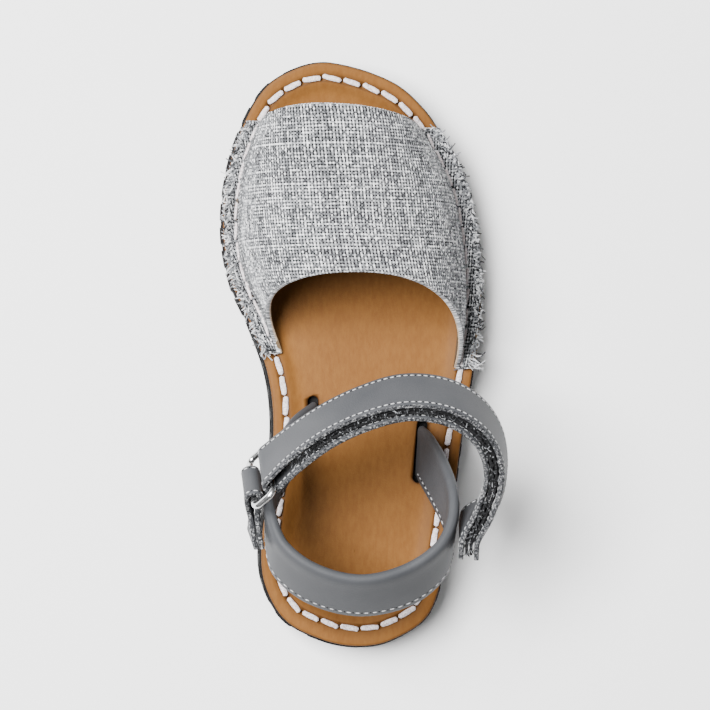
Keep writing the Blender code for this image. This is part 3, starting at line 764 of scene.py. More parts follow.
def darken_slots(part, half_width, half_length):
    """Dark edge round the two strap slots, fading outward."""
    mesh = part.data
    places = np.zeros(len(mesh.vertices) * 3)
    mesh.vertices.foreach_get("co", places)
    places = places.reshape(-1, 3)
    values = np.zeros(len(places), dtype=np.float32)
    mesh.attributes["dark"].data.foreach_get("value", values)
    for middle_x, middle_y, degrees in SLOTS:
        away = places[:, :2] - (middle_x, middle_y)
        across, ahead = turned(away[:, 0], away[:, 1], -math.radians(degrees))
        past = np.maximum(np.abs(ahead) - half_length, 0.0)
        edge = np.hypot(across, past) - half_width
        values = np.maximum(values, 0.9 * np.exp(-np.maximum(edge, 0.0) / SLOT_DARK_FADE))
    mesh.attributes["dark"].data.foreach_set("value", values.astype(np.float32))


def bits(name, middles, ahead, out, half_length, half_width, half_height, rings=10, around=9, twist=5.0,
         blunt=3.2):
    """One mesh of many short stitches, each a rounded piece of two-ply thread."""
    middles, ahead, out = np.asarray(middles), units(np.asarray(ahead)), np.asarray(out)
    out = units(out - ahead * np.sum(out * ahead, axis=1, keepdims=True))
    side = np.cross(out, ahead)
    t = np.linspace(-1.0, 1.0, rings + 1)
    swell = np.maximum(1.0 - np.abs(t) ** blunt, 0.0) ** (1 / blunt)
    swell[0] = swell[-1] = 0.25
    angle = 2 * math.pi * np.arange(around) / around
    ply = 1.0 + 0.07 * np.cos(2 * angle[None, :] - twist * t[:, None])
    radial = swell[:, None] * ply
    long_way = np.repeat(t[:, None], around, axis=1)
    boxy = 1.0 / np.maximum(np.abs(np.cos(angle)) ** 3 + np.abs(np.sin(angle)) ** 3, 1e-6) ** (1 / 3)
    wide, high = radial * np.cos(angle) * boxy, radial * np.sin(angle) * boxy
    count = len(middles)
    vary = SEED.uniform(0.93, 1.06, (count, 3))
    half_width = np.broadcast_to(half_width, (count,))[:, None, None]
    points = (
        middles[:, None, None, :]
        + ahead[:, None, None, :] * (long_way[None] * half_length * vary[:, 0, None, None])[..., None]
        + side[:, None, None, :] * (wide[None] * half_width * vary[:, 1, None, None])[..., None]
        + out[:, None, None, :] * (high[None] * half_height * vary[:, 2, None, None])[..., None]
    )
    return many_tubes(name, points, rings + 1, around)


def hem_lift(y, side):
    """How far the welt stitches are lifted by the vamp's hem at y, on the inner (0) or outer (1) side."""
    front, back = along(TOE_EDGE[side]), along(THROAT_EDGE[side])
    over = smoothstep((front - y) / 0.0015) * smoothstep((y - back) / 0.0015)
    return (VAMP_THICK * HEM_FLAT + GAP - HEM_TROUGH * 1.15) * over


def welt_seam(finish):
    arcs = (np.arange(SEAM_COUNT) + 0.5) * SEAM_STEP
    middle = seam_point(arcs)
    ahead = seam_point(arcs + 0.0012) - seam_point(arcs - 0.0012)
    side = (middle[:, 0] > side_x(two_sides(0.0), middle[:, 1])[0] + 0.02).astype(int)

    def lift(points):
        return np.where(side == 1, hem_lift(points[:, 1], 1), hem_lift(points[:, 1], 0))

    def height(points):
        return insole_rim(points[:, 1]) + lift(points) + SEAM_HEIGHT * 0.16

    low, high = seam_point(arcs - SEAM_STEP * 0.4), seam_point(arcs + SEAM_STEP * 0.4)
    rise = height(high) - height(low)
    wander = SEED.normal(-0.05, 0.05, len(arcs))
    heading = units(np.stack(turned(ahead[:, 0], ahead[:, 1], wander), axis=1))
    heading = np.column_stack([heading, rise / (SEAM_STEP * 0.8)])
    points = np.column_stack([middle, (height(low) + height(high)) / 2])
    out = np.tile((0.0, 0.0, 1.0), (len(arcs), 1))
    width = SEAM_WIDTH * (1.0 - HEM_PINCH * np.minimum(lift(middle) / lift(middle).max(), 1.0))
    made = bits("welt_stitches", points, heading, out, (SEAM_STEP - SEAM_GAP) / 2, width / 2, SEAM_HEIGHT / 2,
                rings=16, around=12, blunt=6.0)
    return settle(made, finish)


# Vamp

def over_arch(turn):
    """Share of the way from the inner to the outer side, and share of the arch's height."""
    return (1.0 - np.cos(turn)) / 2.0, np.maximum(np.sin(turn), 0.0)


def toe_line(turn):
    across, up = over_arch(turn)
    return along(TOE_EDGE[0] + (TOE_EDGE[1] - TOE_EDGE[0]) * across) + VAMP_BULGE * up


def throat_line(turn):
    across, up = over_arch(turn)
    seam = along(THROAT_EDGE[0] + (THROAT_EDGE[1] - THROAT_EDGE[0]) * across)
    sweep = THROAT_SWEEP[0] + (THROAT_SWEEP[1] - THROAT_SWEEP[0]) * across
    return seam + (along(THROAT_CROWN) - seam) * up**sweep


FOOT_SIDES = two_sides(STITCH_INSET + SEAM_TO_ARCH)
SEAM_SIDES = two_sides(SEAM_INSET)
HEM_SIDES = (two_sides(MEDIAL_HEM - HEM_FRAY)[0], two_sides(LATERAL_HEM)[1])


def past_seam(x, y, place):
    """How far a place on the vamp lies inward of the welt seam, on the place's own side."""
    left, right = side_x(SEAM_SIDES, y)
    return np.where(place < math.pi / 2, x - left, right - x)


def vamp_point(y, place, thick):
    """Point on the vamp, so thick above its inner face. The place runs from -1, the inner hem's edge, over
    0 to pi on the arch, to pi + 1 at the outer hem's edge; past the hems it turns down."""
    front, back = along(TOE_EDGE[0]), along(THROAT_CROWN)
    climb = (np.maximum(front - y, 0.0) / (front - back)) ** VAMP_CROWN_CURVE
    rise = VAMP_FRONT_RISE + (VAMP_THROAT_RISE - VAMP_FRONT_RISE) * climb
    left, right = side_x(FOOT_SIDES, y)
    middle, half = (left + right) / 2, (right - left) / 2
    turn = np.clip(place, 0.0, math.pi)
    power = 2.0 / VAMP_SQUARENESS
    up, cosine = np.maximum(np.sin(turn), 0.0), np.cos(turn)
    x = middle - (half + thick) * np.sign(cosine) * np.abs(cosine) ** power + CROWN_SHIFT * half * up**2
    base = insole_rim(y) + GAP
    z = base + (rise + thick) * up**power
    hem = base + thick * HEM_FLAT
    inner, outer = side_x(HEM_SIDES, y)
    past_inner, past_outer = np.clip(-place, 0.0, 1.0), np.clip(place - math.pi, 0.0, 1.0)
    x = np.where(place < 0.0, x + (inner - x) * past_inner, x)
    x = np.where(place > math.pi, x + (outer - x) * past_outer, x)
    to_seam = past_seam(x, y, place)
    cloth_side = thick > CLOTH_SIDE
    trough = HEM_TROUGH * np.exp(-((to_seam / TROUGH_WIDTH) ** 2)) * cloth_side
    swelling = np.sin(2 * math.pi * y / SEAM_PITCH + 1.0) * cloth_side
    puff = HEM_PUFF + HEM_PUFF * swelling * np.exp(-(((to_seam + PUFF_OUT) / PUFF_WIDTH) ** 2))
    z = np.maximum(z, hem) - trough + puff
    fall = np.maximum(np.maximum(-1.0 - place, place - math.pi - 1.0), 0.0)
    return x, z - fall * TURN_DOWN


def vamp_row(y, places, thick):
    x, z = vamp_point(y, places, thick)
    return np.stack([x, y, z], axis=-1)


def places_over(hem, arch, reach=1.0):
    """Places from one hem over the arch to the other, with so many on each hem and on the arch."""
    past = np.linspace(0.0, reach, hem)[1:]
    return np.concatenate([-past[::-1], math.pi * np.linspace(0.0, 1.0, arch), math.pi + past])


def yarn_place(numbers):
    """Where the cloth's grid lines lie: each yarn takes two faces and the gap behind it one wider face."""
    return (numbers // 3 + np.array((0.0, 0.25, 0.50))[numbers % 3]) * YARN


def yarn_run(count, across, lengthwise, chance):
    """How much paler or darker each yarn is along its run."""
    table = chance.normal(0.0, RUN_SPREAD[0], (count, 96))
    number = across % count
    place = lengthwise / 0.0013 + 7.0 * number
    low = np.floor(place).astype(int)
    share = smoothstep(place - low)
    drift = table[number, low % 96] * (1 - share) + table[number, (low + 1) % 96] * share
    return chance.normal(0.0, RUN_SPREAD[1], count)[number] + drift


def vamp_cloth(finish):
    """Linen over the arch and the hems. Each yarn crossing is three faces by three: body, body and gap."""
    step = YARN / 3
    y_low = along(min(THROAT_EDGE)) - step
    y_high = along(max(TOE_EDGE)) + VAMP_BULGE + 2 * step
    rows = np.arange(math.floor(y_low / step), math.ceil(y_high / step) + 1)
    turned_down = np.linspace(1.0, 1.3, 8)[1:]
    places = np.concatenate([-turned_down[::-1], places_over(30, 500), math.pi + turned_down])
    crown = int(np.argmin(np.abs(places - math.pi / 2)))
    steps = np.arange(-CLOTH_REACH, CLOTH_REACH + 1)
    run = yarn_place(steps)
    grid_place = np.zeros((len(rows), len(steps)))
    limit = np.zeros((len(rows), 2))
    for row, number in enumerate(rows):
        y = np.full(len(places), yarn_place(number))
        arc = arc_along(vamp_row(y, places, VAMP_THICK))
        arc -= arc[crown]
        limit[row] = arc[0], arc[-1]
        grid_place[row] = np.interp(run, arc, places)
    wanted = np.repeat(yarn_place(rows)[:, None], len(steps), axis=1)
    turn = np.clip(grid_place, 0.0, math.pi)
    y = np.clip(wanted, throat_line(turn), toe_line(turn))
    clamped = (np.abs(y - wanted) > 1e-9) | (run[None] < limit[:, :1]) | (run[None] > limit[:, 1:])
    points = vamp_row(y, grid_place, VAMP_THICK)

    chance = np.random.default_rng(21)
    across = np.repeat((steps // 3)[None], len(rows), axis=0)
    ahead = np.repeat((rows // 3)[:, None], len(steps), axis=1)
    on_warp, on_weft = (steps % 3 != 2)[None], (rows % 3 != 2)[:, None]
    warp = yarn_run(211, across, wanted + 1.0, chance) + YARN_TONES[0]
    weft = yarn_run(223, ahead, np.repeat(run[None], len(rows), axis=0) + 1.0, chance) + YARN_TONES[1]
    over = (across + ahead) % 2 == 0
    cell = ahead % SPOT_TABLE[0], across % SPOT_TABLE[1]
    spot = chance.normal(0.0, SPOT_SPREAD, SPOT_TABLE)[cell]
    spot = np.where(chance.random(SPOT_TABLE)[cell] < DARK_SPOTS[0], DARK_SPOTS[1], spot)
    # A yarn between two crossings is darkened: painted shade where it dips
    crossing, beside = np.where(over, warp, weft) + spot, np.where(on_warp, warp, weft) + BESIDE_SHADE
    tone = np.where(on_warp & on_weft, crossing, beside)
    tone = CLOTH_TONE + tone + chance.normal(0.0, FACE_SPREAD, tone.shape)
    to_seam = past_seam(points[..., 0], y, grid_place)
    # Painted shade in the trough that the welt seam pulls into the hem
    darkness, inset, spread = SEAM_TROUGH_SHADE
    tone = tone - darkness * np.exp(-(((to_seam - inset) / spread) ** 2))
    # The gaps between the yarns are near black: painted shade in the weave's holes
    tone = np.where(~on_warp & ~on_weft, 0.24 * chance.random(tone.shape) ** 2 - 0.08, tone)
    on_warp, on_weft = (steps % 3 == 1)[None], (rows % 3 == 1)[:, None]
    beside = np.where(on_warp | on_weft, 0.3, -1.0)
    relief = np.where(on_warp & on_weft, np.where(over, 1.0, 0.7), beside) * YARN_RELIEF

    kept = ~(clamped[:-1, :-1] & clamped[1:, :-1] & clamped[:-1, 1:] & clamped[1:, 1:])
    width = len(steps)
    row, column = np.nonzero(kept)
    corner = row * width + column
    faces = np.stack([corner, corner + 1, corner + width + 1, corner + width], axis=1)
    used = np.unique(faces)
    index = np.full(len(rows) * width, -1)
    index[used] = np.arange(len(used))
    points = points.reshape(-1, 3)[used]
    part = add_mesh("vamp_cloth", points, index[faces], closed=False)
    part.data.update()
    normals = np.zeros(len(used) * 3)
    part.data.vertices.foreach_get("normal", normals)
    slack = waves(points, *CLOTH_SLACK[:3]) * CLOTH_SLACK[3]
    moved = points + normals.reshape(-1, 3) * (relief.reshape(-1)[used] + slack)[:, None]
    part.data.vertices.foreach_set("co", moved.ravel())
    part.data.update()
    give(part, "tone", np.clip(tone[row, column], 0.0, 1.0), "FACE")
    return settle(part, finish, ["vamp"])


def vamp_lining(finish):
    """Leather lining under the cloth, a closed shell over the arch and the hems."""
    places = places_over(5, 81, 0.98)
    turn = np.clip(places, 0.0, math.pi)
    shells = []
    for thick in (0.0, VAMP_THICK - LINING_INSET):
        grid = []
        for back in np.linspace(0.004, 0.996, 40):
            y = toe_line(turn) + (throat_line(turn) - toe_line(turn)) * back
            grid.append(vamp_row(y, places, max(thick, 1e-6)) - (0.0, 0.0, 0.0002 if thick else 0.0))
        shells.append(np.array(grid))
    rows, columns = shells[0].shape[:2]
    points = np.vstack([shell.reshape(-1, 3) for shell in shells])
    faces = []
    for layer in (0, 1):
        first = layer * rows * columns
        faces += [[first + a for a in face] for face in bands(rows, columns, closed=False)]
    index = np.arange(rows * columns).reshape(rows, columns)
    border = np.concatenate([index[0], index[1:, -1], index[-1, -2::-1], index[-2:0:-1, 0]]).tolist()
    for here, ahead in zip(border, border[1:] + border[:1]):
        faces.append([here, ahead, ahead + rows * columns, here + rows * columns])
    part = add_mesh("vamp_lining", points, faces)
    return settle(part, finish)


def vamp_edge(name, line, outward, thick, finish, tones, inner_finish=None):
    """Rounded fold that closes the vamp's edge from the cloth's face to the lining's. Its inner half may have
    a finish of its own."""
    places = places_over(14, 380)
    y = line(np.clip(places, 0.0, math.pi))
    outer, inner = vamp_row(y, places, VAMP_THICK), vamp_row(y, places, thick)
    arc = arc_along(outer)
    even = np.arange(0.0, arc[-1], YARN / 2)
    outer, inner = at_arc(even, arc, outer), at_arc(even, arc, inner)
    middle, spread = (outer + inner) / 2, (outer - inner) / 2
    reach = np.linalg.norm(spread, axis=1, keepdims=True)
    ahead = units(np.gradient(middle, axis=0))
    push = units(np.cross(ahead, spread)) * outward
    push = push * np.sign(np.median(push[:, 1]) * outward)
    angle = np.linspace(-0.2, math.pi + 0.2, 9)
    bump = 1.0 + 0.07 * np.where(np.arange(len(even)) % 2 == 0, 1.0, -1.0)
    push = push * reach * 0.4 * bump[:, None]
    rows = [middle + spread * math.cos(a) * 1.02 + push * math.sin(a) for a in angle]
    points = np.vstack(rows)
    faces = bands(len(rows), len(even), closed=False)
    part = add_mesh(name, points, faces, closed=False)
    chance = np.random.default_rng(31)
    one = np.where(np.arange(len(even)) % 2 == 0, tones[1], tones[0]) + chance.normal(0.0, 0.12, len(even))
    give(part, "tone", np.clip(np.tile(one, len(rows)), 0.0, 1.0))
    if inner_finish:
        inner_half = np.arange(len(faces)) // (len(even) - 1) > len(rows) // 2
        part.data.polygons.foreach_set("material_index", inner_half.astype(np.int32))
        finish = [finish, inner_finish]
    return settle(part, finish)


def yarns(name, paths, radius, tones, sides, finish):
    """One piece of many thin yarns. Each path has the same number of points, and a tone."""
    paths = np.asarray(paths)
    length = paths.shape[1]
    ahead = units(np.gradient(paths, axis=1))
    first = units(np.cross(ahead, np.array((0.31, 0.22, 0.93))))
    second = np.cross(ahead, first)
    angle = 2 * math.pi * np.arange(sides) / sides
    ring = first[:, :, None] * np.cos(angle)[:, None] + second[:, :, None] * np.sin(angle)[:, None]
    points = paths[:, :, None] + ring * np.asarray(radius)[:, :, None, None]
    part = many_tubes(name, points, length, sides)
    give(part, "tone", np.repeat(tones, length * sides))
    return settle(part, finish)


def fringe(finish):
    """Frayed yarn ends along both hems and at the vamp's rear corners."""
    chance = np.random.default_rng(41)
    share = np.linspace(0.0, 1.0, 7)[:, None]
    paths, radius, tone = [], [], []
    for side, direction in ((0, -1.0), (1, 1.0)):
        low, high = along(THROAT_EDGE[side]) + 0.0003, along(TOE_EDGE[side]) - 0.0003
        for y in np.arange(low, high, FRAY_PITCH[side]):
            inside = chance.uniform(0.45, 1.0)
            place = -inside if side == 0 else math.pi + inside
            corner = y - low < FRAY_CORNER
            slant = chance.normal(-0.15, 0.7) - (0.9 if corner else 0.0)
            length = chance.uniform(*FRAY_LENGTH) * (2.0 if corner else 1.1)
            heading = np.array([direction * math.cos(slant), math.sin(slant), 0.0])
            sideways = np.array([-heading[1], heading[0], 0.0])
            path = vamp_row(np.array([y]), np.array([place]), VAMP_THICK) + heading * length * share
            path = path + sideways * length * 0.9 * chance.normal() * share**2
            rise = chance.uniform(0.00010, 0.0005) * np.sin(share * math.pi * 0.85)
            rise = rise - 0.0005 * share**2 * inside
            paths.append(path + np.array([0.0, 0.0, 1.0]) * rise)
            radius.append(np.linspace(1.0, 0.7, 7) * chance.uniform(*FRAY_RADIUS))
            tone.append(chance.choice((0.24, 0.50, 0.64, 0.74, 0.82, 0.90)))
    return yarns("vamp_fringe", paths, radius, tone, 5, finish)


# Straps

def frames_along(rows, steps):
    """Middle, width direction, outward direction and heading along a strap, each as an array. A row has
    its middle, its width direction and the section's size, which scales both directions."""
    path = spline([[*middle, *direction, size] for middle, direction, size in rows], steps)
    middle, size = path[:, :3], path[:, 6:]
    width = units(path[:, 3:6])
    ahead = units(np.gradient(middle, axis=0))
    return middle, width * size, units(np.cross(width, ahead)) * size, ahead


def heel_frames():
    """From the outer slot round the back of the heel to the inner slot."""
    seat = float(insole_rim(SLOT_LINE)) - INSOLE_DIP

    def slot_rows(x, y, degrees):
        turn = math.radians(degrees)
        direction = np.array([-math.sin(turn), math.cos(turn), 0.0])
        foot = float(sole_top(y - HEEL_STRAP_WIDTH * STRAP_IN_SLOT / 2)) + GAP
        heights = (foot, seat, seat + STRAP_UPRIGHT)
        return [(np.array([x, y, height]), direction, STRAP_IN_SLOT) for height in heights]

    rows = slot_rows(*SLOTS[0])
    for across, back, up, direction, size in HEEL_STRAP:
        x, y = across * HEEL_STRAP_HALF_SPAN, SLOT_LINE - back * HEEL_STRAP_REACH
        rows.append((np.array([x, y, seat + up * HEEL_STRAP_RISE]), unit(np.array(direction)), size))
    rows += slot_rows(*SLOTS[1])[::-1]
    return frames_along(rows, FINE_STEPS)


def on_heel_strap(frames, row, up, lift):
    place = (row + SLOT_ROWS - 1) * FINE_STEPS
    low = int(place)
    share = place - low
    middle, width, out = (item[low] * (1 - share) + item[low + 1] * share for item in frames[:3])
    face = middle + width * up * HEEL_STRAP_WIDTH + out * HEEL_STRAP_THICK / 2
    return face + unit(out) * (GAP + lift), unit(out)


def laid_rows(heel, places, lift, start):
    laid = [on_heel_strap(heel, row, up, lift + LAID_SLACK) for row, up in places]
    path = unit(laid[-1][0] - start)
    return [(point, unit(np.cross(path, out)), 1.0) for point, out in laid]


def instep_frames(heel):
    crown = np.array([0.0, STRAP_FRONT_Y, STRAP_CROWN])
    spans = np.array([STRAP_HALF_SPAN, -STRAP_REACH, -STRAP_DROP])
    middles = [crown + spans * row[:3] for row in INSTEP_STRAP]
    lift = STRAP_THICK + STRIP_GAP + STRIP_THICK + STRIP_GAP / 2
    laid = laid_rows(heel, (FIXED_END,), lift, middles[-1])
    point, direction, size = laid[-1]
    _, out = on_heel_strap(heel, *FIXED_END, lift)
    laid.append((point + unit(np.cross(out, direction)) * STRAP_TAIL, direction, size))
    tangents = np.gradient(np.array(middles + [laid[0][0]]), axis=0)
    rows = []
    for middle, tangent, (_, _, _, lean) in zip(middles, tangents, INSTEP_STRAP):
        ahead, turn = unit(tangent), math.radians(lean)
        sideways = unit(np.cross((0.0, 0.0, 1.0), ahead))
        direction = np.cross(ahead, sideways) * math.cos(turn) - sideways * math.sin(turn)
        rows.append((middle, direction, 1.0))
    return frames_along(rows + laid, FINE_STEPS)


def folded(frames, apart, steps=20):
    """Frames of a strip that comes in under the middle line, turns round the first frame and goes back
    over the line."""
    middle, width, out, ahead = frames
    apart = np.asarray(apart)[:, None]
    angle = math.pi * np.arange(1, steps) / steps
    facing = -np.cos(angle)[:, None] * out[0] - np.sin(angle)[:, None] * ahead[0]
    heading = np.cross(facing, width[0])
    return (
        np.vstack([(middle - out * apart)[::-1], middle[0] + facing * apart[0], middle + out * apart]),
        np.vstack([width[::-1], np.tile(width[0], (steps - 1, 1)), width]),
        np.vstack([-out[::-1], facing, out]),
        np.vstack([-ahead[::-1], -heading, ahead]),
    )


def shifted(frames, first, last, away):
    middle, width, out, ahead = frames
    low, high = round(first * (len(middle) - 1)), round(last * (len(middle) - 1))
    part = slice(low, high + 1)
    return middle[part] + out[part] * away, width[part], out[part], ahead[part]


def sweep_band(name, frames, section, edge_sides=()):
    """A closed band along the frames. Sides listed as edges get the second material."""
    middle, width, out, _ = frames
    section = np.array(section)
    points = (
        middle[:, None] + width[:, None] * section[None, :, 0, None]
        + out[:, None] * section[None, :, 1, None]
    )
    count, rows = len(section), len(middle)
    faces = bands(rows, count)
    kinds = [1 if step in edge_sides else 0 for _ in range(rows - 1) for step in range(count)]
    faces += [list(range(count)), list(range((rows - 1) * count, rows * count))]
    kinds += [1, 1] if edge_sides else [0, 0]
    mesh = add_mesh(name, points.reshape(-1, 3), faces, sharp=50.0)
    mesh.data.polygons.foreach_set("material_index", kinds)
    return mesh


def leather_section(width, thick, steps=10):
    """Flat strip with its long edges eased and its flat faces divided in steps."""
    half, deep, ease = width / 2, thick / 2, thick * 0.3
    flat = np.linspace(-half + ease, half - ease, steps + 1)
    lower = [(-half, -deep + ease), (-half + ease * 0.3, -deep + ease * 0.3)] + [(x, -deep) for x in flat]
    lower += [(half - ease * 0.3, -deep + ease * 0.3), (half, -deep + ease)]
    upper = [(-x, -z) for x, z in lower]
    section = lower + upper
    last = len(lower)
    edges = (last - 1, 2 * last - 1, 0, last - 2, last, 2 * last - 2)
    return section, edges


def padded_section():
    outer = [(across * HEEL_STRAP_WIDTH, deep * HEEL_STRAP_THICK) for across, deep in HEEL_SECTION]
    points = outer + [(across, -deep) for across, deep in reversed(outer)]
    return spline(points, 4, closed=True)


def on_band(frames, places, across, deep):
    """Points at lengths along the band's frames, and the heading and outward direction there."""
    middle, width, out, _ = frames
    line = middle + width * across
    arc = arc_along(line)
    face = line + out * deep
    heading = at_arc(places + 0.0003, arc, face) - at_arc(places - 0.0003, arc, face)
    return at_arc(places, arc, face), heading, at_arc(places, arc, out), arc[-1]


def row_of_stitches(frames, across, deep, pitch, ends):
    """Places, headings and outward directions of a row's stitches, and the same of its needle holes."""
    length = on_band(frames, np.array([0.0]), across, deep)[3]
    places = np.arange(ends + pitch / 2, length - ends - pitch / 4, pitch)
    return [on_band(frames, places + shift, across, deep)[:3] for shift in (0.0, pitch / 2)]


def join_rows(rows):
    return [np.vstack([row[item] for row in rows]) for item in range(3)]


def bristles(frames, finish):
    """Hooks and loops that show between the two layers of the closed strap."""
    chance = np.random.default_rng(51)
    length = on_band(frames, np.array([0.0]), 0.0, 0.0)[3]
    low, high = length * PILE_START, length * STRIP_REACH[1]
    paths, radius, tone = [], [], []
    share = np.linspace(0.0, 1.0, 6)[:, None]
    for place in np.arange(low + 0.0006, high - 0.0008, PILE_PITCH):
        for edge in (-1.0, 1.0):
            across = edge * (STRIP_WIDTH / 2 - chance.uniform(0.0001, 0.0009))
            point, heading, facing, _ = on_band(frames, np.array([place]), across, 0.0)
            facing, heading = facing[0], unit(heading[0])
            side = unit(np.cross(facing, heading)) * -edge
            start = point[0] + facing * chance.uniform(-0.0011, 0.0011)
            reach = chance.uniform(*PILE_LENGTH)
            path = start + side * reach * share + heading * chance.normal(0.0, 0.0006) * share
            path = path + facing * chance.normal(0.0, 0.0004) * share**2
            paths.append(path)
            radius.append(np.full(6, chance.uniform(*PILE_RADIUS)))
            tone.append(chance.choice((0.05, 0.20, 0.35, 0.50, 0.70)))
    return yarns("fastening_pile", paths, radius, tone, 4, finish)


def ring_wire(frames, finish):
    middle, width, _, ahead = (item[0] for item in frames)
    centre = middle - ahead * RING_SPAN / 2
    half_long = STRAP_WIDTH / 2 + RING_SLACK + RING_CORNER
    line = []
    for number, (side, end) in enumerate(((1, 1), (-1, 1), (-1, -1), (1, -1))):
        for step in range(13):
            angle = math.pi / 2 * (number + step / 12)
            across = side * (RING_SPAN / 2 - RING_CORNER) + RING_CORNER * math.cos(angle)
            up = end * (half_long - RING_CORNER) + RING_CORNER * math.sin(angle)
            line.append(centre + ahead * across + width * up)
    line = np.array(line)
    heading = units(np.roll(line, -1, axis=0) - np.roll(line, 1, axis=0))
    plane = unit(np.cross(ahead, width))
    side = units(np.cross(heading, plane))
    angle = 2 * math.pi * np.arange(WIRE_SIDES) / WIRE_SIDES
    ring = side[:, None] * np.cos(angle)[:, None] + plane * np.sin(angle)[None, :, None]
    points = (line[:, None] + ring * WIRE / 2).reshape(-1, 3)
    faces = bands(len(line), WIRE_SIDES)
    last = (len(line) - 1) * WIRE_SIDES
    for step in range(WIRE_SIDES):
        ahead_step = (step + 1) % WIRE_SIDES
        faces.append([last + step, last + ahead_step, ahead_step, step])
    part = add_mesh("ring_wire", points, faces)
    return settle(part, finish, ["ring"])


def keeper_frames(heel, frames):
    middle, width, _, ahead = (item[0] for item in frames)
    start = middle - ahead * RING_SPAN
    rows = [(start, -width, 1.0)] + laid_rows(heel, KEEPER_TAIL, STRAP_THICK + GAP / 2, start)
    return frames_along(rows, FINE_STEPS)


def straps():
    # Near-black pile material for the strap's needle holes: painted shade in the holes
    leather, edge, dark = grey_leather(), cut_edge(), pile("needle_hole_shade", 0.02)
    white = thread("fine_white_thread", (2.10, 2.10, 2.12), (0.80, 0.80, 0.82))
    heel = heel_frames()
    part = sweep_band("heel_strap_leather", heel, padded_section())
    settle(part, leather, ["heel_strap"])
    stitched, pierced = [], []

    def sew(frames, across, deep, pitch, ends, signs=(1, -1)):
        for sign in signs:
            rows = row_of_stitches(frames, across, deep * sign, pitch, ends)
            for kept, (points, heading, out) in zip((stitched, pierced), rows):
                kept.append((points, heading, out * sign))

    sew(heel, -HEEL_STRAP_WIDTH * 0.38, HEEL_STRAP_THICK * 0.345, 0.0021, 0.004)

    stack = instep_frames(heel)
    layer = STRIP_GAP / 2 + STRIP_THICK + STRIP_GAP + STRAP_THICK / 2
    instep = folded(stack, np.full(len(stack[0]), layer))
    section, edges = leather_section(STRAP_WIDTH, STRAP_THICK)
    part = sweep_band("instep_strap_leather", instep, section, edges)
    settle(part, (leather, edge), ["instep_strap"])
    for across in (-STRAP_WIDTH / 2 + STITCH_MARGIN, STRAP_WIDTH / 2 - STITCH_MARGIN):
        sew(instep, across, STRAP_THICK / 2, 0.0016, 0.001)

    loop_finish, hook_finish = pile("loop_tape", 0.10), pile("hook_tape", 0.07)
    strip, _ = leather_section(STRIP_WIDTH, STRIP_THICK, 6)
    for name, node, side, finish in (
        ("loop_tape", "loop_strip", -1, loop_finish), ("hook_tape", "hook_strip", 1, hook_finish),
    ):
        frames = shifted(stack, *STRIP_REACH, side * (STRIP_GAP + STRIP_THICK) / 2)
        settle(sweep_band(name, frames, strip), finish, [node])
    bristles(stack, cloth("fastening_loops"))

    ring_wire(stack, steel())
    keeper = keeper_frames(heel, stack)
    wrap, flat = WIRE / 2 + GAP + STRAP_THICK / 2, (GAP + STRAP_THICK) / 2
    share = np.arange(len(keeper[0])) / (len(keeper[0]) - 1)
    apart = wrap + (flat - wrap) * smoothstep(share / KEEPER_CLOSE)
    section, edges = leather_section(KEEPER_WIDTH, STRAP_THICK)
    tab = folded(keeper, apart)
    part = sweep_band("ring_keeper_leather", tab, section, edges)
    settle(part, (leather, edge), ["ring_keeper"])
    for across in (-KEEPER_WIDTH / 2 + KEEPER_MARGIN, KEEPER_WIDTH / 2 - KEEPER_MARGIN):
        sew(tab, across, STRAP_THICK / 2, 0.0015, 0.0008, (1,))

    for name, rows, size, rings, twist, finish in (
        ("strap_stitches", stitched, (0.00052, 0.00016, 0.00013), 5, 2.0, white),
        # Flat near-black bits between the strap's stitches: painted shade in the needle holes
        ("strap_needle_hole_shade", pierced, (0.00020, 0.00020, 0.00006), 4, 0.0, dark),
    ):
        settle(bits(name, *join_rows(rows), *size, rings=rings, around=6, twist=twist), finish)


# Floor, light and camera

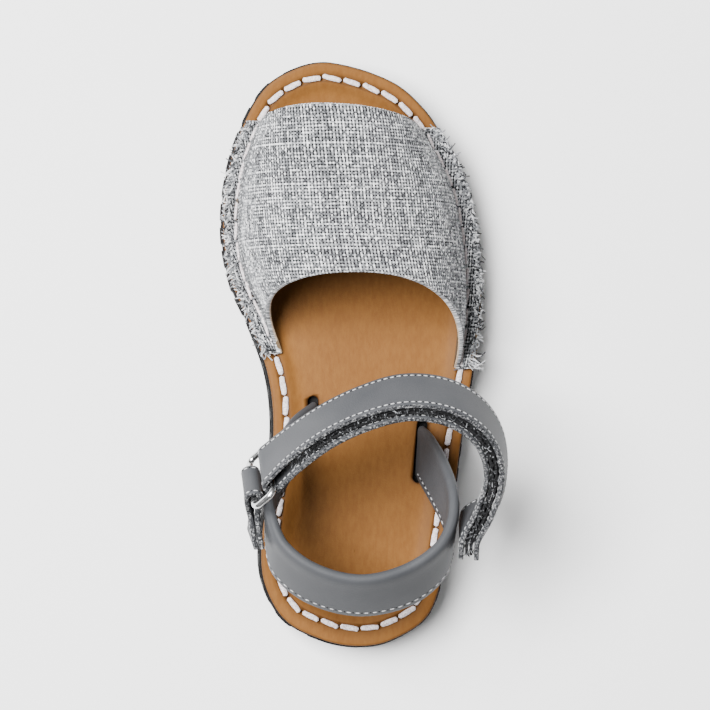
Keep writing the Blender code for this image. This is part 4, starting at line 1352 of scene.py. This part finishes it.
def stage():
    mesh = bpy.data.meshes.new("floor")
    side = 3.0
    corners = [(-side, -side, 0), (side, -side, 0), (side, side, 0), (-side, side, 0)]
    mesh.from_pydata(corners, [], [[0, 1, 2, 3]])
    floor = link(bpy.data.objects.new("floor", mesh))
    floor.location.z = -0.00002
    made = Finish("floor", 0.8, specular=0.2)
    made.colour(made.ramp(made.noise(3.0, 2.0), ((0.3, (0.92 / DIM,) * 3), (0.7, (0.94 / DIM,) * 3))))
    floor.data.materials.append(made.material)

    world = bpy.context.scene.world or bpy.data.worlds.new("studio")
    bpy.context.scene.world = world
    world.use_nodes = True
    background = world.node_tree.nodes.get("Background")
    background.inputs["Color"].default_value = (1.0, 1.0, 1.0, 1.0)
    background.inputs["Strength"].default_value = 0.20

    for name, place, size, power in (
        ("key", (-0.45, 0.26, 1.00), 0.64, 55.0),
        ("fill", (0.60, -0.30, 1.00), 0.90, 1.0),
    ):
        data = bpy.data.lights.new(name, "AREA")
        data.energy = power
        data.size = size
        lamp = link(bpy.data.objects.new(name, data))
        lamp.location = place
        lamp.rotation_mode = "QUATERNION"
        lamp.rotation_quaternion = (Vector((0.0, 0.05, 0.02)) - Vector(place)).to_track_quat("-Z", "Y")


def camera():
    """High above, a little to the inner side, and turned to the shoe."""
    data = bpy.data.cameras.new("camera")
    data.sensor_width = 36.0
    data.lens = 136.0
    data.clip_start, data.clip_end = 0.01, 20.0
    made = link(bpy.data.objects.new("camera", data))
    place, target = Vector((-0.0351, 0.0391, 0.700)), Vector((0.0005, 0.0501, 0.012))
    back = (place - target).normalized()
    right = Vector((0.0, 1.0, 0.0)).cross(back).normalized()
    up = back.cross(right)
    turn = Matrix((right, up, back)).transposed()
    made.matrix_world = Matrix.Translation(place) @ turn.to_4x4()
    bpy.context.scene.camera = made


def main():
    bpy.ops.object.select_all(action="DESELECT")
    for item in list(bpy.data.objects):
        bpy.data.objects.remove(item, do_unlink=True)
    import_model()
    camera()
    stage()
    outsole()
    insole()
    welt_seam(thread("welt_thread", (3.15, 2.95, 2.97), (1.45, 1.12, 1.12)))
    linen = cloth()
    vamp_cloth(linen)
    vamp_lining(lining_leather())
    vamp_edge("vamp_toe_fold", toe_line, 1.0, 0.0006, linen, (0.62, 0.98))
    fibre = thread("throat_fibre", (2.30, 1.90, 1.50), (0.95, 0.62, 0.38))
    vamp_edge("vamp_throat_fold", throat_line, -1.0, 0.0002, linen, (0.62, 0.90), fibre)
    fringe(linen)
    straps()


main()
